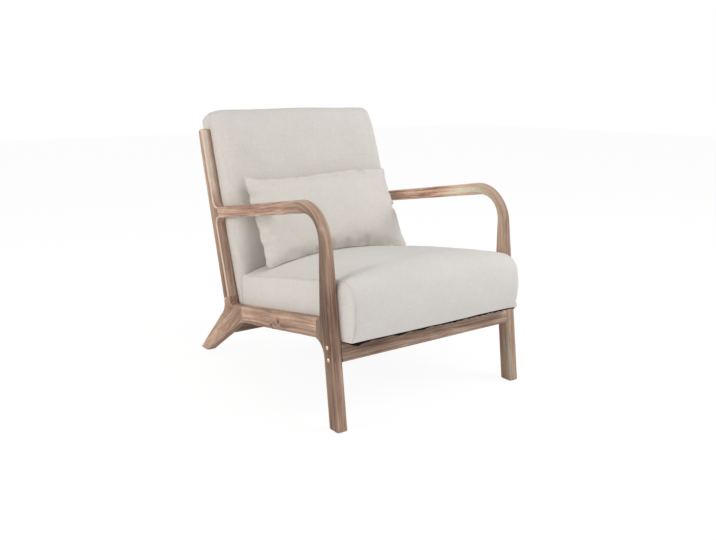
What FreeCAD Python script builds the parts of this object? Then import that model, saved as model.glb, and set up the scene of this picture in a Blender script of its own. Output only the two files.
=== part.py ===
import FreeCAD, Part
import math
import os
import Sketcher

# Lounge chair with a shaped wooden frame, a webbed seat, an upholstered back and a loose pillow.
# Millimetres. Seen from the front, +X is to the right; -Y is the front of the chair, +Z is up.
# The origin is on the floor, in the middle of the chair's width and depth.

Vector = FreeCAD.Vector
Rotation = FreeCAD.Rotation
Placement = FreeCAD.Placement

doc = FreeCAD.newDocument("LoungeChair")

# Driving sizes: alias, value, what it is
SIZES = [
    ("overall_width", 650.0, "outside of one side frame to the outside of the other"),
    ("stock", 33.0, "thickness of every side frame member"),
    ("edge_round", 7.0, "round on the long edges of the side frame"),
    ("front_foot_front", -400.0, "front edge of the front foot, from the origin"),
    ("foot_depth", 41.0, "front foot, front to back"),
    ("leg_front_tilt", 7.35, "degrees, front edge of the front leg"),
    ("leg_rear_tilt", 7.0, "degrees, back edge of the front leg below the side rail"),
    ("leg_head_back", 84.0, "front of the foot to the upright back edge of the leg"),
    ("arm_corner_height", 590.5, "where the arm top and the leg front would meet"),
    ("seat_tilt", 9.1, "degrees, fall of arm, side rail and seat to the rear"),
    ("arm_depth", 34.5, "armrest, top to bottom"),
    ("elbow_outer_radius", 116.0, "outer bend from arm to leg"),
    ("elbow_inner_radius", 66.0, "inner bend from arm to leg"),
    ("elbow_joint_back", 124.0, "arm corner to the joint of arm and elbow"),
    ("elbow_joint_drop", 123.0, "arm corner to the joint of elbow and leg"),
    ("rail_top_height", 284.5, "side rail top at the back edge of the front leg"),
    ("rail_depth", 51.0, "side rail, top to bottom"),
    ("rail_joint_gap", 13.0, "back edge of the leg to the joint with the side rail"),
    ("rail_rear_joint", 80.0, "front of the rear post to the joint behind the side rail"),
    ("leg_blend_low", 45.0, "radius below the side rail at the front leg"),
    ("leg_blend_high", 12.0, "radius above the side rail at the front leg"),
    ("window_length", 512.0, "front leg to rear post along the side rail"),
    ("post_front_tilt", 16.22, "degrees, front edge of the rear post"),
    ("post_rear_tilt", 15.22, "degrees, back edge of the rear post"),
    ("post_tip_tilt", 11.7, "degrees, back edge of the post near its top"),
    ("post_depth", 37.5, "rear post, front to back at the side rail"),
    ("post_taper_length", 72.0, "top of the post down to where it starts to taper"),
    ("post_top_height", 724.0, "top of the rear post"),
    ("post_top_round", 9.0, "corners of the post top"),
    ("post_joint_rise", 24.0, "side rail top to the joint of post and rear leg"),
    ("arm_joint_gap", 25.0, "front of the post to its joint with the arm"),
    ("arm_blend_high", 22.0, "radius above the arm at the post"),
    ("arm_blend_low", 16.0, "radius below the arm at the post"),
    ("rail_blend", 8.0, "radius of the corner of post and side rail"),
    ("rear_foot_reach", 833.0, "front of the front foot to the back of the rear foot"),
    ("rear_foot_depth", 50.0, "rear foot, front to back"),
    ("rear_leg_bend_drop", 15.96, "side rail top down the post's back edge to the rear leg"),
    ("rear_leg_crotch_gap", 61.3, "below the post's foot, forward to where the rear leg starts"),
    ("rear_leg_blend_back", 27.4, "bend of the post into the rear leg, from its corner on"),
    ("rear_leg_blend_front", 12.3, "bend of the side rail into the rear leg, from its corner on"),
    ("foot_chamfer", 2.0, "chamfer round the bottom of each foot"),
    ("glide_height", 2.5, "foot glide under the wood"),
    ("glide_diameter", 22.0, "foot glide"),
    ("glide_pin_diameter", 3.0, "pin of the foot glide"),
    ("glide_pin_length", 12.0, "pin of the foot glide"),
    ("dowel_diameter", 8.0, "frame dowels"),
    ("dowel_length", 36.0, "frame dowels"),
    ("dowel_spread", 16.0, "centres of the two dowels of a joint"),
    ("hole_fit", 0.1, "play all round a dowel, pin, nut or screw"),
    ("front_rail_thickness", 32.0, "front rail, front to back"),
    ("front_rail_depth", 51.0, "front rail, top to bottom"),
    ("front_rail_setback", 2.0, "front rail behind the front of the leg"),
    ("rail_round", 4.0, "round on the long edges of front and rear rail"),
    ("rear_rail_thickness", 28.0, "rear rail, front to back"),
    ("rear_rail_depth", 36.0, "rear rail, top to bottom"),
    ("rear_rail_set", 13.3, "rear rail behind the middle line of the rear leg"),
    ("bolt_diameter", 6.0, "front rail bolts"),
    ("bolt_grip", 26.0, "length of bolt inside the front rail"),
    ("bolt_tip", 8.0, "bolt past the middle of its barrel nut"),
    ("bolt_spacing", 32.0, "the two bolts of one leg"),
    ("bolt_head_diameter", 11.5, "bolt head"),
    ("bolt_head_height", 3.2, "bolt head"),
    ("bolt_head_sink", 1.4, "bolt head let into the leg"),
    ("bolt_socket", 4.0, "hexagon socket across flats"),
    ("barrel_diameter", 10.0, "barrel nut"),
    ("barrel_length", 18.0, "barrel nut"),
    ("screw_diameter", 5.0, "screws from the upholstery frames into the side frames"),
    ("screw_head_diameter", 10.0, "screw head"),
    ("screw_head_height", 3.0, "screw head"),
    ("screw_bite", 22.0, "screw length in the side frame"),
    ("seat_overhang", 11.0, "seat front bottom edge ahead of the front foot"),
    ("seat_front_height", 238.0, "seat front bottom edge above the floor"),
    ("seat_box_depth", 61.3, "wooden seat box, top to bottom"),
    ("seat_side_depth", 151.0, "seat at its side seam, top to bottom"),
    ("seat_crown", 42.0, "rise of the seat from side seam to middle"),
    ("seat_nose", 23.5, "forward swell of the seat front at the sides"),
    ("seat_nose_crown", 12.0, "more swell in the middle of the seat front"),
    ("seat_front_round", 42.0, "top front edge of the seat"),
    ("seat_front_bow", 7.5, "swell of the seat front between its bottom edge and shoulder"),
    ("seat_edge_round", 16.0, "round of the seat's side edges"),
    ("seat_back_gap", 0.6, "seat cushion to the back cushion"),
    ("side_clearance", 2.0, "upholstery to the side frames"),
    ("cover_thickness", 2.0, "fabric with its wadding"),
    ("box_board", 25.0, "boards of the seat box"),
    ("box_front_set", 16.0, "seat box behind the seat's front bottom edge"),
    ("box_play", 0.4, "seat and back frames to the inside of the cover"),
    ("box_rear_set", 4.0, "seat box ahead of the outside back panel"),
    ("corner_block", 42.0, "legs of the triangular corner blocks"),
    ("corner_block_height", 50.0, "corner blocks, top to bottom"),
    ("webbing_width", 50.0, "elastic webbing"),
    ("webbing_thickness", 1.8, "elastic webbing"),
    ("webbing_pitch", 108.0, "centres of the webbing straps"),
    ("dust_cover_thickness", 1.2, "black cloth under the seat"),
    ("dust_cover_inset", 4.0, "black cloth inside the seat's edge"),
    ("back_rear_set", 20.0, "outside back behind the rear posts"),
    ("back_foot_depth", 50.0, "back cushion in front of the post's rear line, bottom"),
    ("back_belly_depth", 109.0, "same at its fullest"),
    ("back_head_depth", 86.0, "same at the start of its top round"),
    ("back_belly_height", 480.0, "where the back cushion is fullest, up the post"),
    ("back_height", 798.0, "top of the back cushion, up the post"),
    ("back_top_round", 42.0, "front top edge of the back cushion"),
    ("back_rear_round", 15.0, "rear top edge of the back cushion"),
    ("back_edge_round", 24.0, "round of the back cushion's side edges"),
    ("back_corner_round", 44.0, "drop of the back cushion's top corners"),
    ("back_crown", 10.0, "swell of the back cushion from the sides to the middle"),
    ("back_board", 25.0, "boards of the back frame"),
    ("back_frame_rear_gap", 1.0, "back frame to the outside back panel"),
    ("back_frame_depth", 44.0, "uprights of the back frame, front to back"),
    ("back_frame_drop", 31.5, "top of the back cushion to the top of the back frame"),
    ("back_rail_width", 50.0, "cross rails of the back frame"),
    ("panel_thickness", 2.0, "outside back panel"),
    ("panel_inset", 3.0, "outside back panel inside the cover's edge"),
    ("pillow_width", 512.0, "lumbar pillow"),
    ("pillow_height", 253.0, "lumbar pillow in its middle"),
    ("pillow_ear", 12.0, "pillow taller at its ends than in its middle"),
    ("pillow_droop", 12.0, "ends of the pillow lower than its middle"),
    ("pillow_thickness", 112.0, "lumbar pillow at its fullest"),
    ("pillow_edge", 5.0, "thickness of the pillow's seamed edge"),
    ("pillow_tilt", 24.0, "degrees, lean of the pillow"),
    ("pillow_gap", 0.5, "pillow to seat and back"),
]

sheet = doc.addObject("Spreadsheet::Sheet", "Sizes")
for row, (alias, value, note) in enumerate(SIZES, start=1):
    sheet.set("A%d" % row, alias)
    sheet.set("B%d" % row, str(value))
    sheet.set("C%d" % row, note)
    sheet.setAlias("B%d" % row, alias)
doc.recompute()


def size(alias):
    """The value of one cell of the size sheet."""
    return float(sheet.get(alias))


# Plane geometry of the side view: every point is (y, z)
def tan(degrees):
    return math.tan(math.radians(degrees))


def sin(degrees):
    return math.sin(math.radians(degrees))


def cos(degrees):
    return math.cos(math.radians(degrees))


def upright(point, lean):
    """A line through point that leans back by lean degrees as it rises."""
    return point, (sin(lean), cos(lean))


def falling(point, pitch):
    """A line through point that falls by pitch degrees towards the rear."""
    return point, (cos(pitch), -sin(pitch))


def through(low, high):
    """The line from a low point through a higher one."""
    length = math.dist(low, high)
    return low, ((high[0] - low[0]) / length, (high[1] - low[1]) / length)


def meet(first, second):
    """Where two lines cross."""
    (y1, z1), (dy1, dz1) = first
    (y2, z2), (dy2, dz2) = second
    cross = dy1 * dz2 - dz1 * dy2
    along = ((y2 - y1) * dz2 - (z2 - z1) * dy2) / cross
    return y1 + along * dy1, z1 + along * dz1


def shifted(line, distance):
    """The parallel line at distance to the right of its direction: rearward of an upright
    line and below a falling one."""
    (y, z), (dy, dz) = line
    return (y + distance * dz, z - distance * dy), (dy, dz)


def at_distance(line, distance):
    """The point on a line at distance from its base point."""
    (y, z), (dy, dz) = line
    return y + distance * dy, z + distance * dz


def across(point, line):
    """The line through point at right angles to line."""
    _, (dy, dz) = line
    return point, (-dz, dy)


def middle(first, second):
    return (first[0] + second[0]) / 2, (first[1] + second[1]) / 2


pitch = size("seat_tilt")
foot_front = size("front_foot_front")
floor = ((0.0, size("glide_height")), (1.0, 0.0))

leg_front = upright((foot_front, 0.0), size("leg_front_tilt"))
leg_rear_low = upright((foot_front + size("foot_depth"), 0.0), size("leg_rear_tilt"))
leg_rear_high = upright((foot_front + size("leg_head_back"), 0.0), 0.0)
arm_corner = meet(leg_front, ((0.0, size("arm_corner_height")), (1.0, 0.0)))
arm_top = falling(arm_corner, pitch)
arm_bottom = shifted(arm_top, size("arm_depth"))
rail_head = (foot_front + size("leg_head_back"), size("rail_top_height"))
rail_top = falling(rail_head, pitch)
rail_bottom = shifted(rail_top, size("rail_depth"))
post_foot = meet(rail_top, upright((rail_head[0] + size("window_length"), 0.0), 0.0))
post_front = upright(post_foot, size("post_front_tilt"))
post_rear_foot = (post_foot[0] + size("post_depth"), post_foot[1])
post_rear = upright(post_rear_foot, size("post_rear_tilt"))
taper_start = size("post_top_height") - size("post_taper_length")
taper_point = meet(post_rear, ((0.0, taper_start), (1.0, 0.0)))
post_tip = upright(taper_point, size("post_tip_tilt"))
post_top_rear = meet(post_tip, ((0.0, size("post_top_height")), (1.0, 0.0)))
post_top_front = meet(across(post_top_rear, post_tip), post_front)
rear_foot = foot_front + size("rear_foot_reach")
rear_leg_bend = at_distance(post_rear, -size("rear_leg_bend_drop"))
below_post = meet(rail_bottom, across(post_foot, rail_top))
rear_leg_crotch = at_distance((below_post, rail_bottom[1]), -size("rear_leg_crotch_gap"))
rear_leg_back = through((rear_foot, 0.0), rear_leg_bend)
rear_leg_front = through((rear_foot - size("rear_foot_depth"), 0.0), rear_leg_crotch)

# Joints of the side frame: each is a straight cut across the member
arm_elbow_cut = across(at_distance(arm_top, size("elbow_joint_back")), arm_top)
elbow_leg_cut = (at_distance((arm_corner, leg_front[1]), -size("elbow_joint_drop")), (1.0, 0.0))
leg_rail_cut = upright((rail_head[0] + size("rail_joint_gap"), 0.0), 0.0)
rail_rear_cut = across(at_distance((post_foot, rail_top[1]), -size("rail_rear_joint")), rail_top)
post_leg_cut = across(at_distance(post_front, size("post_joint_rise")), post_rear)
post_arm_cut = shifted(post_front, -size("arm_joint_gap"))

side_inner = size("overall_width") / 2 - size("stock")
OUTER_SIDES = {
    "left": ("-Sizes.overall_width / 2", -size("overall_width") / 2),
    "right": ("Sizes.overall_width / 2 - Sizes.stock", side_inner),
}


def radius_of_bend(first, second, run):
    """The radius of the round between two lines that starts at run from their corner."""
    angle = Vector(*first[1], 0).getAngle(Vector(*second[1], 0))
    return run / math.tan(min(angle, math.pi - angle) / 2)


def tangent_arc(corner, before, after, radius):
    """Start, crest and end of the round of a corner between its two unit directions."""
    half = before.getAngle(after) / 2
    run = radius / math.tan(half)
    bisector = (before + after).normalize()
    crest = corner + bisector * (radius / math.sin(half) - radius)
    return corner + before * run, crest, corner + after * run


def cut_round(first, second, radius, cut, rear_part):
    """The part of the round between two lines that lies before or behind an upright cut."""
    y, z = meet(first, second)
    start, crest, end = tangent_arc(Vector(y, z, 0), -Vector(*first[1], 0), Vector(*second[1], 0),
                                    radius)
    circle = Part.Arc(start, crest, end).toShape().Curve
    across_cut = cut[0][0] - circle.Center.x
    at_cut = Vector(cut[0][0], circle.Center.y + math.sqrt(radius ** 2 - across_cut ** 2), 0)
    kept_end = end if rear_part else start
    towards = ((at_cut + kept_end) / 2 - circle.Center).normalize()
    crest = circle.Center + towards * radius
    return (kept_end, crest, at_cut) if rear_part else (at_cut, crest, kept_end)


def rounded_outline(corners):
    """Lines and arcs through corners: each is (y, z, radius of its round) or a ready arc."""
    count = len(corners)

    def place(index, last):
        item = corners[index % count]
        if isinstance(item[0], Vector):
            return item[2] if last else item[0]
        return Vector(item[0], item[1], 0)

    entries = []
    for index in range(count):
        if isinstance(corners[index][0], Vector):
            entries.append(corners[index])
            continue
        y, z, radius = corners[index]
        here = Vector(y, z, 0)
        if radius <= 0:
            entries.append((here, None, here))
            continue
        before = (place(index - 1, True) - here).normalize()
        after = (place(index + 1, False) - here).normalize()
        entries.append(tangent_arc(here, before, after, radius))
    shapes = []
    for index in range(count):
        start, crest, end = entries[index]
        if crest is not None:
            shapes.append(Part.Arc(start, crest, end))
        following = entries[(index + 1) % count][0]
        if end.distanceToPoint(following) > 1e-6:
            shapes.append(Part.LineSegment(end, following))
    return shapes


def origin_plane(body, role):
    for feature in body.Origin.OriginFeatures:
        if feature.Role == role:
            return feature
    raise RuntimeError("no origin plane " + role)


def outline_body(name, corners, side, round_size="edge_round", keep_square=()):
    """A member cut from stock to an outline in the side view, with its long edges rounded.

    keep_square lists the joint cuts, whose edges stay sharp.
    """
    offset_text, offset = OUTER_SIDES[side]
    body = doc.addObject("PartDesign::Body", name)
    sketch = body.newObject("Sketcher::SketchObject", name + "_outline")
    sketch.AttachmentSupport = [(origin_plane(body, "YZ_Plane"), "")]
    sketch.MapMode = "FlatFace"
    sketch.AttachmentOffset = Placement(Vector(0, 0, offset), Rotation())
    sketch.setExpression(".AttachmentOffset.Base.z", offset_text)
    for shape in rounded_outline(corners):
        index = sketch.addGeometry(shape, False)
        sketch.addConstraint(Sketcher.Constraint("Block", index))
    pad = body.newObject("PartDesign::Pad", name + "_pad")
    pad.Profile = sketch
    pad.setExpression("Length", "Sizes.stock")
    doc.recompute()
    x_faces = (offset, offset + size("stock"))
    chosen = []
    for index, edge in enumerate(pad.Shape.Edges, start=1):
        point = edge.valueAt((edge.FirstParameter + edge.LastParameter) / 2)
        ends = [vertex.Point for vertex in edge.Vertexes]
        on_face = any(all(abs(end.x - x) < 1e-4 for end in ends) for x in x_faces)
        at_cut = any(abs(distance_to(line, (point.y, point.z))) < 0.01 for line in keep_square)
        if on_face and not at_cut:
            chosen.append("Edge%d" % index)
    fillet = body.newObject("PartDesign::Fillet", name + "_round")
    fillet.Base = (pad, chosen)
    fillet.setExpression("Radius", "Sizes." + round_size)
    doc.recompute()
    return body


def distance_to(line, point):
    (y, z), (dy, dz) = line
    return (point[0] - y) * dz - (point[1] - z) * dy


def add_foot_chamfer(body, base, name):
    """A small chamfer round the bottom of a foot."""
    names = []
    level = size("glide_height")
    for index, edge in enumerate(base.Shape.Edges, start=1):
        if all(abs(vertex.Z - level) < 1e-4 for vertex in edge.Vertexes):
            names.append("Edge%d" % index)
    chamfer = body.newObject("PartDesign::Chamfer", name + "_foot")
    chamfer.Base = (base, names)
    chamfer.setExpression("Size", "Sizes.foot_chamfer")
    doc.recompute()


def cylinder(name, diameter, length, base, direction, extra="0"):
    """A round bar of a named diameter from base along direction, extra wider all round."""
    bar = doc.addObject("Part::Cylinder", name)
    bar.setExpression("Radius", "(%s) / 2 + %s" % (diameter, extra))
    bar.setExpression("Height", length)
    bar.Placement = Placement(base, Rotation(Vector(0, 0, 1), direction))
    return bar


def drilled(label, solid, tools):
    """solid with every tool cut out of it, as the finished piece."""
    group = doc.addObject("Part::Compound", label + "_drills")
    group.Links = tools
    cut = doc.addObject("Part::Cut", label)
    cut.Base = solid
    cut.Tool = group
    cut.Label = label
    return cut


def on_plane(x, point):
    return Vector(x, point[0], point[1])


# Frame dowels
dowel_joints = {}


def joint_dowels(side, joint, point, line, spread_line=None):
    """Two dowels through a joint, along line; returns their drills."""
    _, outer = OUTER_SIDES[side]
    centre_x = outer + size("stock") / 2
    dy, dz = line[1]
    direction = Vector(0, dy, dz)
    half = size("dowel_length") / 2
    spread = size("dowel_spread") / 2
    drills = []
    for number, sign in enumerate((-1, 1), start=1):
        if spread_line is None:
            centre = on_plane(centre_x + sign * spread, point)
        else:
            ay, az = spread_line[1]
            centre = on_plane(centre_x, (point[0] + sign * spread * ay, point[1] + sign * spread * az))
        name = "%s_%s_dowel_%d" % (side, joint, number)
        dowel = cylinder(name, "Sizes.dowel_diameter", "Sizes.dowel_length",
                         centre - direction * half, direction)
        drill = cylinder(name + "_hole", "Sizes.dowel_diameter",
                         "Sizes.dowel_length + 2 * Sizes.hole_fit",
                         centre - direction * (half + size("hole_fit")), direction, "Sizes.hole_fit")
        dowel_joints.setdefault(side, []).append(dowel)
        drills.append(drill)
    return drills


def mid_of_cut(cut, first, second):
    return middle(meet(cut, first), meet(cut, second))


# Front rail and rear rail, both square to the seat's pitch
seat_origin = (foot_front - size("seat_overhang"), size("seat_front_height"))
seat_floor = falling(seat_origin, pitch)
rail_rest = shifted(seat_floor, size("dust_cover_thickness"))
front_rail_face = shifted(leg_front, size("front_rail_setback"))
front_rail_corner = meet(front_rail_face, rail_rest)
front_rail_middle = at_distance((front_rail_corner, rail_rest[1]), size("front_rail_thickness") / 2)
down = (-sin(pitch), -cos(pitch))
rear_leg_line = through(middle(rear_leg_back[0], rear_leg_front[0]),
                        middle(rear_leg_bend, rear_leg_crotch))
rear_rail_middle = at_distance((meet(rear_leg_line, rail_rest), rail_rest[1]),
                               size("rear_rail_set"))


def below_rest(point, drop):
    return point[0] + down[0] * drop, point[1] + down[1] * drop


def cross_rail(name, top_middle, thickness, depth):
    """A rail across the chair: a rounded rectangle in the side view, square to the seat."""
    body = doc.addObject("PartDesign::Body", name)
    sketch = body.newObject("Sketcher::SketchObject", name + "_section")
    sketch.AttachmentSupport = [(origin_plane(body, "YZ_Plane"), "")]
    sketch.MapMode = "FlatFace"
    half = size(thickness) / 2
    deep = size(depth)
    points = [Vector(-half, -deep, 0), Vector(half, -deep, 0), Vector(half, 0, 0), Vector(-half, 0, 0)]
    for start, end in zip(points, points[1:] + points[:1]):
        sketch.addGeometry(Part.LineSegment(start, end), False)
    for first, second in ((0, 1), (1, 2), (2, 3), (3, 0)):
        sketch.addConstraint(Sketcher.Constraint("Coincident", first, 2, second, 1))
    sketch.addConstraint(Sketcher.Constraint("Horizontal", 0))
    for line in (1, 3):
        sketch.addConstraint(Sketcher.Constraint("Vertical", line))
    sketch.addConstraint(Sketcher.Constraint("Symmetric", 2, 1, 2, 2, -2))
    sketch.addConstraint(Sketcher.Constraint("PointOnObject", 2, 1, -1))
    width_rule = sketch.addConstraint(Sketcher.Constraint("DistanceX", 0, 1, 0, 2, 2 * half))
    depth_rule = sketch.addConstraint(Sketcher.Constraint("DistanceY", 1, 1, 1, 2, deep))
    sketch.setExpression("Constraints[%d]" % width_rule, "Sizes." + thickness)
    sketch.setExpression("Constraints[%d]" % depth_rule, "Sizes." + depth)
    pad = body.newObject("PartDesign::Pad", name + "_pad")
    pad.Profile = sketch
    pad.Midplane = True
    pad.setExpression("Length", "Sizes.overall_width - 2 * Sizes.stock")
    doc.recompute()
    long_edges = []
    for index, edge in enumerate(pad.Shape.Edges, start=1):
        if abs(edge.Vertexes[0].X - edge.Vertexes[-1].X) > 1.0:
            long_edges.append("Edge%d" % index)
    fillet = body.newObject("PartDesign::Fillet", name + "_round")
    fillet.Base = (pad, long_edges)
    fillet.setExpression("Radius", "Sizes.rail_round")
    body.Placement = Placement(on_plane(0, top_middle), Rotation(Vector(1, 0, 0), -pitch))
    doc.recompute()
    return body


front_rail_blank = cross_rail("front_rail_blank", front_rail_middle,
                              "front_rail_thickness", "front_rail_depth")
rear_rail_blank = cross_rail("rear_rail_blank", rear_rail_middle,
                             "rear_rail_thickness", "rear_rail_depth")

# Bolts and barrel nuts of the front rail
front_rail_centre = below_rest(front_rail_middle, size("front_rail_depth") / 2)
bolt_points = [below_rest(front_rail_centre, sign * size("bolt_spacing") / 2) for sign in (-1, 1)]
bolt_drills = {"left": [], "right": [], "rail": []}
bolt_shapes = []
barrel_shapes = []


def make_bolt():
    """Domed hexagon-socket bolt along +X, with the underside of its head at the origin."""
    body = doc.addObject("PartDesign::Body", "rail_bolt")
    sketch = body.newObject("Sketcher::SketchObject", "rail_bolt_section")
    sketch.AttachmentSupport = [(origin_plane(body, "XY_Plane"), "")]
    sketch.MapMode = "FlatFace"
    shank = size("bolt_diameter") / 2
    head = size("bolt_head_diameter") / 2
    tall = size("bolt_head_height")
    rim = tall * 0.45
    crest = tall * 0.86
    reach = size("stock") - size("bolt_head_sink") + size("bolt_grip") + size("bolt_tip")
    flat = size("bolt_socket") * 0.75
    steps = [
        Part.LineSegment(Vector(-tall, 0, 0), Vector(-tall, flat, 0)),
        Part.Arc(Vector(-tall, flat, 0), Vector(-crest, (flat + head) / 2, 0), Vector(-rim, head, 0)),
        Part.LineSegment(Vector(-rim, head, 0), Vector(0, head, 0)),
        Part.LineSegment(Vector(0, head, 0), Vector(0, shank, 0)),
        Part.LineSegment(Vector(0, shank, 0), Vector(reach - 1, shank, 0)),
        Part.LineSegment(Vector(reach - 1, shank, 0), Vector(reach, shank - 1, 0)),
        Part.LineSegment(Vector(reach, shank - 1, 0), Vector(reach, 0, 0)),
        Part.LineSegment(Vector(reach, 0, 0), Vector(-tall, 0, 0)),
    ]
    for step in steps:
        index = sketch.addGeometry(step, False)
        sketch.addConstraint(Sketcher.Constraint("Block", index))
    turn = body.newObject("PartDesign::Revolution", "rail_bolt_turn")
    turn.Profile = sketch
    turn.ReferenceAxis = (sketch, ["H_Axis"])
    turn.Angle = 360.0
    doc.recompute()
    socket = body.newObject("Sketcher::SketchObject", "rail_bolt_hexagon")
    socket.AttachmentSupport = [(origin_plane(body, "YZ_Plane"), "")]
    socket.MapMode = "FlatFace"
    socket.AttachmentOffset = Placement(Vector(0, 0, -tall), Rotation())
    radius = size("bolt_socket") / math.sqrt(3)
    ring = [Vector(radius * cos(60 * k), radius * sin(60 * k), 0) for k in range(6)]
    for start, end in zip(ring, ring[1:] + ring[:1]):
        index = socket.addGeometry(Part.LineSegment(start, end), False)
        socket.addConstraint(Sketcher.Constraint("Block", index))
    pocket = body.newObject("PartDesign::Pocket", "rail_bolt_socket")
    pocket.Profile = socket
    pocket.Reversed = True
    pocket.setExpression("Length", "Sizes.bolt_head_height * 0.7")
    doc.recompute()
    return body


bolt_body = make_bolt()
for side, direction in (("left", 1), ("right", -1)):
    face_x = -direction * size("overall_width") / 2
    seat_x = face_x + direction * size("bolt_head_sink")
    rail_end_x = face_x + direction * size("stock")
    for number, point in enumerate(bolt_points, start=1):
        turn = Rotation() if direction > 0 else Rotation(Vector(0, 0, 1), 180)
        copy = bolt_body.Shape.copy()
        copy.Placement = Placement(on_plane(seat_x, point), turn)
        bolt_shapes.append(copy)
        name = "%s_bolt_%d" % (side, number)
        toward = Vector(direction, 0, 0)
        shank_hole = cylinder(name + "_shank_hole", "Sizes.bolt_diameter",
                              "Sizes.stock + Sizes.bolt_grip + Sizes.bolt_tip + 3",
                              on_plane(face_x, point), toward, "2 * Sizes.hole_fit")
        head_hole = cylinder(name + "_head_hole", "Sizes.bolt_head_diameter",
                             "Sizes.bolt_head_sink + 1", on_plane(seat_x, point), -toward,
                             "Sizes.hole_fit")
        bolt_drills[side] += [shank_hole, head_hole]
        nut_centre = on_plane(rail_end_x + direction * size("bolt_grip"), point)
        axis = Vector(0, cos(pitch), -sin(pitch))
        half = size("barrel_length") / 2
        nut = cylinder(name + "_nut", "Sizes.barrel_diameter", "Sizes.barrel_length",
                       nut_centre - axis * half, axis)
        nut_bore = cylinder(name + "_nut_bore", "Sizes.bolt_diameter", "4 * Sizes.barrel_diameter",
                            nut_centre - toward * 2 * size("barrel_diameter"), toward,
                            "Sizes.hole_fit")
        nut_cut = doc.addObject("Part::Cut", name + "_nut_bored")
        nut_cut.Base = nut
        nut_cut.Tool = nut_bore
        barrel_shapes.append(nut_cut)
        nut_hole = cylinder(name + "_nut_hole", "Sizes.barrel_diameter",
                            "Sizes.barrel_length + Sizes.front_rail_thickness",
                            nut_centre - axis * (half + size("hole_fit")), axis, "Sizes.hole_fit")
        bolt_drills["rail"] += [shank_hole, nut_hole]

bolts = doc.addObject("Part::Feature", "front_rail_bolts")
bolts.Shape = Part.makeCompound(bolt_shapes)
barrel_nuts = doc.addObject("Part::Compound", "front_rail_barrel_nuts")
barrel_nuts.Links = barrel_shapes

# Rear rail dowels
rear_rail_centre = below_rest(rear_rail_middle, size("rear_rail_depth") / 2)
rear_dowels = []
rear_drills = {"left": [], "right": [], "rail": []}
for side, direction in (("left", 1), ("right", -1)):
    end_x = -direction * side_inner
    for number, sign in enumerate((-1, 1), start=1):
        point = below_rest(rear_rail_centre, sign * size("dowel_spread") / 2)
        base = on_plane(end_x - direction * size("dowel_length") / 2, point)
        toward = Vector(direction, 0, 0)
        name = "%s_rear_rail_dowel_%d" % (side, number)
        rear_dowels.append(cylinder(name, "Sizes.dowel_diameter", "Sizes.dowel_length", base, toward))
        hole = cylinder(name + "_hole", "Sizes.dowel_diameter",
                        "Sizes.dowel_length + 2 * Sizes.hole_fit",
                        base - toward * size("hole_fit"), toward, "Sizes.hole_fit")
        rear_drills[side].append(hole)
        rear_drills["rail"].append(hole)
rear_rail_dowels = doc.addObject("Part::Compound", "rear_rail_dowels")
rear_rail_dowels.Links = rear_dowels

front_rail = drilled("front_rail", front_rail_blank, bolt_drills["rail"])
rear_rail = drilled("rear_rail", rear_rail_blank, rear_drills["rail"])


# Local frames of the seat and of the back
def seat_point(depth, rise):
    """Side view point of the seat: depth behind its front bottom edge, rise above its floor."""
    return (seat_origin[0] + depth * cos(pitch) + rise * sin(pitch),
            seat_origin[1] - depth * sin(pitch) + rise * cos(pitch))


back_lean = size("post_rear_tilt")
back_origin = meet(post_rear, ((0.0, 0.0), (1.0, 0.0)))


def back_point(depth, rise):
    """Side view point of the back: depth ahead of the post's rear line, rise along it."""
    return (back_origin[0] - depth * cos(back_lean) + rise * sin(back_lean),
            back_origin[1] + depth * sin(back_lean) + rise * cos(back_lean))


def in_seat_frame(point):
    """Depth and rise in the seat's frame of a side view point."""
    dy = point[0] - seat_origin[0]
    dz = point[1] - seat_origin[1]
    return dy * cos(pitch) - dz * sin(pitch), dy * sin(pitch) + dz * cos(pitch)


def in_back_frame(point):
    """Depth and rise in the back's frame of a side view point."""
    dy = point[0] - back_origin[0]
    dz = point[1] - back_origin[1]
    return dz * sin(back_lean) - dy * cos(back_lean), dy * sin(back_lean) + dz * cos(back_lean)


seat_placement = Placement(on_plane(0, seat_origin), Rotation(Vector(1, 0, 0), -pitch))
back_placement = Placement(on_plane(0, back_origin), Rotation(Vector(1, 0, 0), -back_lean))

cushion_half_width = side_inner - size("side_clearance")
box_top = size("seat_box_depth")

# Where the back cushion stands on the seat box
back_rear_line = (back_point(-size("back_rear_set"), 0.0), (sin(back_lean), cos(back_lean)))
box_top_line = falling(seat_point(0.0, box_top), pitch)
back_front_line = (back_point(size("back_foot_depth"), 0.0), (sin(back_lean), cos(back_lean)))
back_front_foot = in_back_frame(meet(back_front_line, box_top_line))


def arc_circle(first, second, third):
    """Centre and radius of the circle through three side view points."""
    arc = Part.Arc(Vector(*first, 0), Vector(*second, 0), Vector(*third, 0)).toShape().Curve
    return (arc.Center.x, arc.Center.y), arc.Radius


belly_arc = [
    back_point(back_front_foot[0], back_front_foot[1]),
    back_point(size("back_belly_depth") + size("back_crown"), size("back_belly_height")),
    back_point(size("back_head_depth"), size("back_height") - size("back_top_round")),
]
belly_centre, belly_radius = arc_circle(*belly_arc)
seat_rear = belly_centre[0] - belly_radius - size("seat_back_gap")


def edge_inset(x, half_width, radius):
    """How far a cushion's outline draws in near its side, as a quarter round."""
    over = abs(x) - (half_width - radius)
    if over <= 0:
        return 0.0
    share = min(over / radius, 1.0)
    return radius * (1.0 - math.sqrt(1.0 - share * share)) * 0.8


def side_stations(half_width, radius, inner):
    """Sections across a cushion, closer together where its side edges turn."""
    turn = [half_width - radius * share for share in (0.0, 0.04, 0.2, 0.5, 1.0)]
    half = turn + [half_width * share for share in inner]
    return sorted([-x for x in half] + [0.0] + half)


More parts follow.
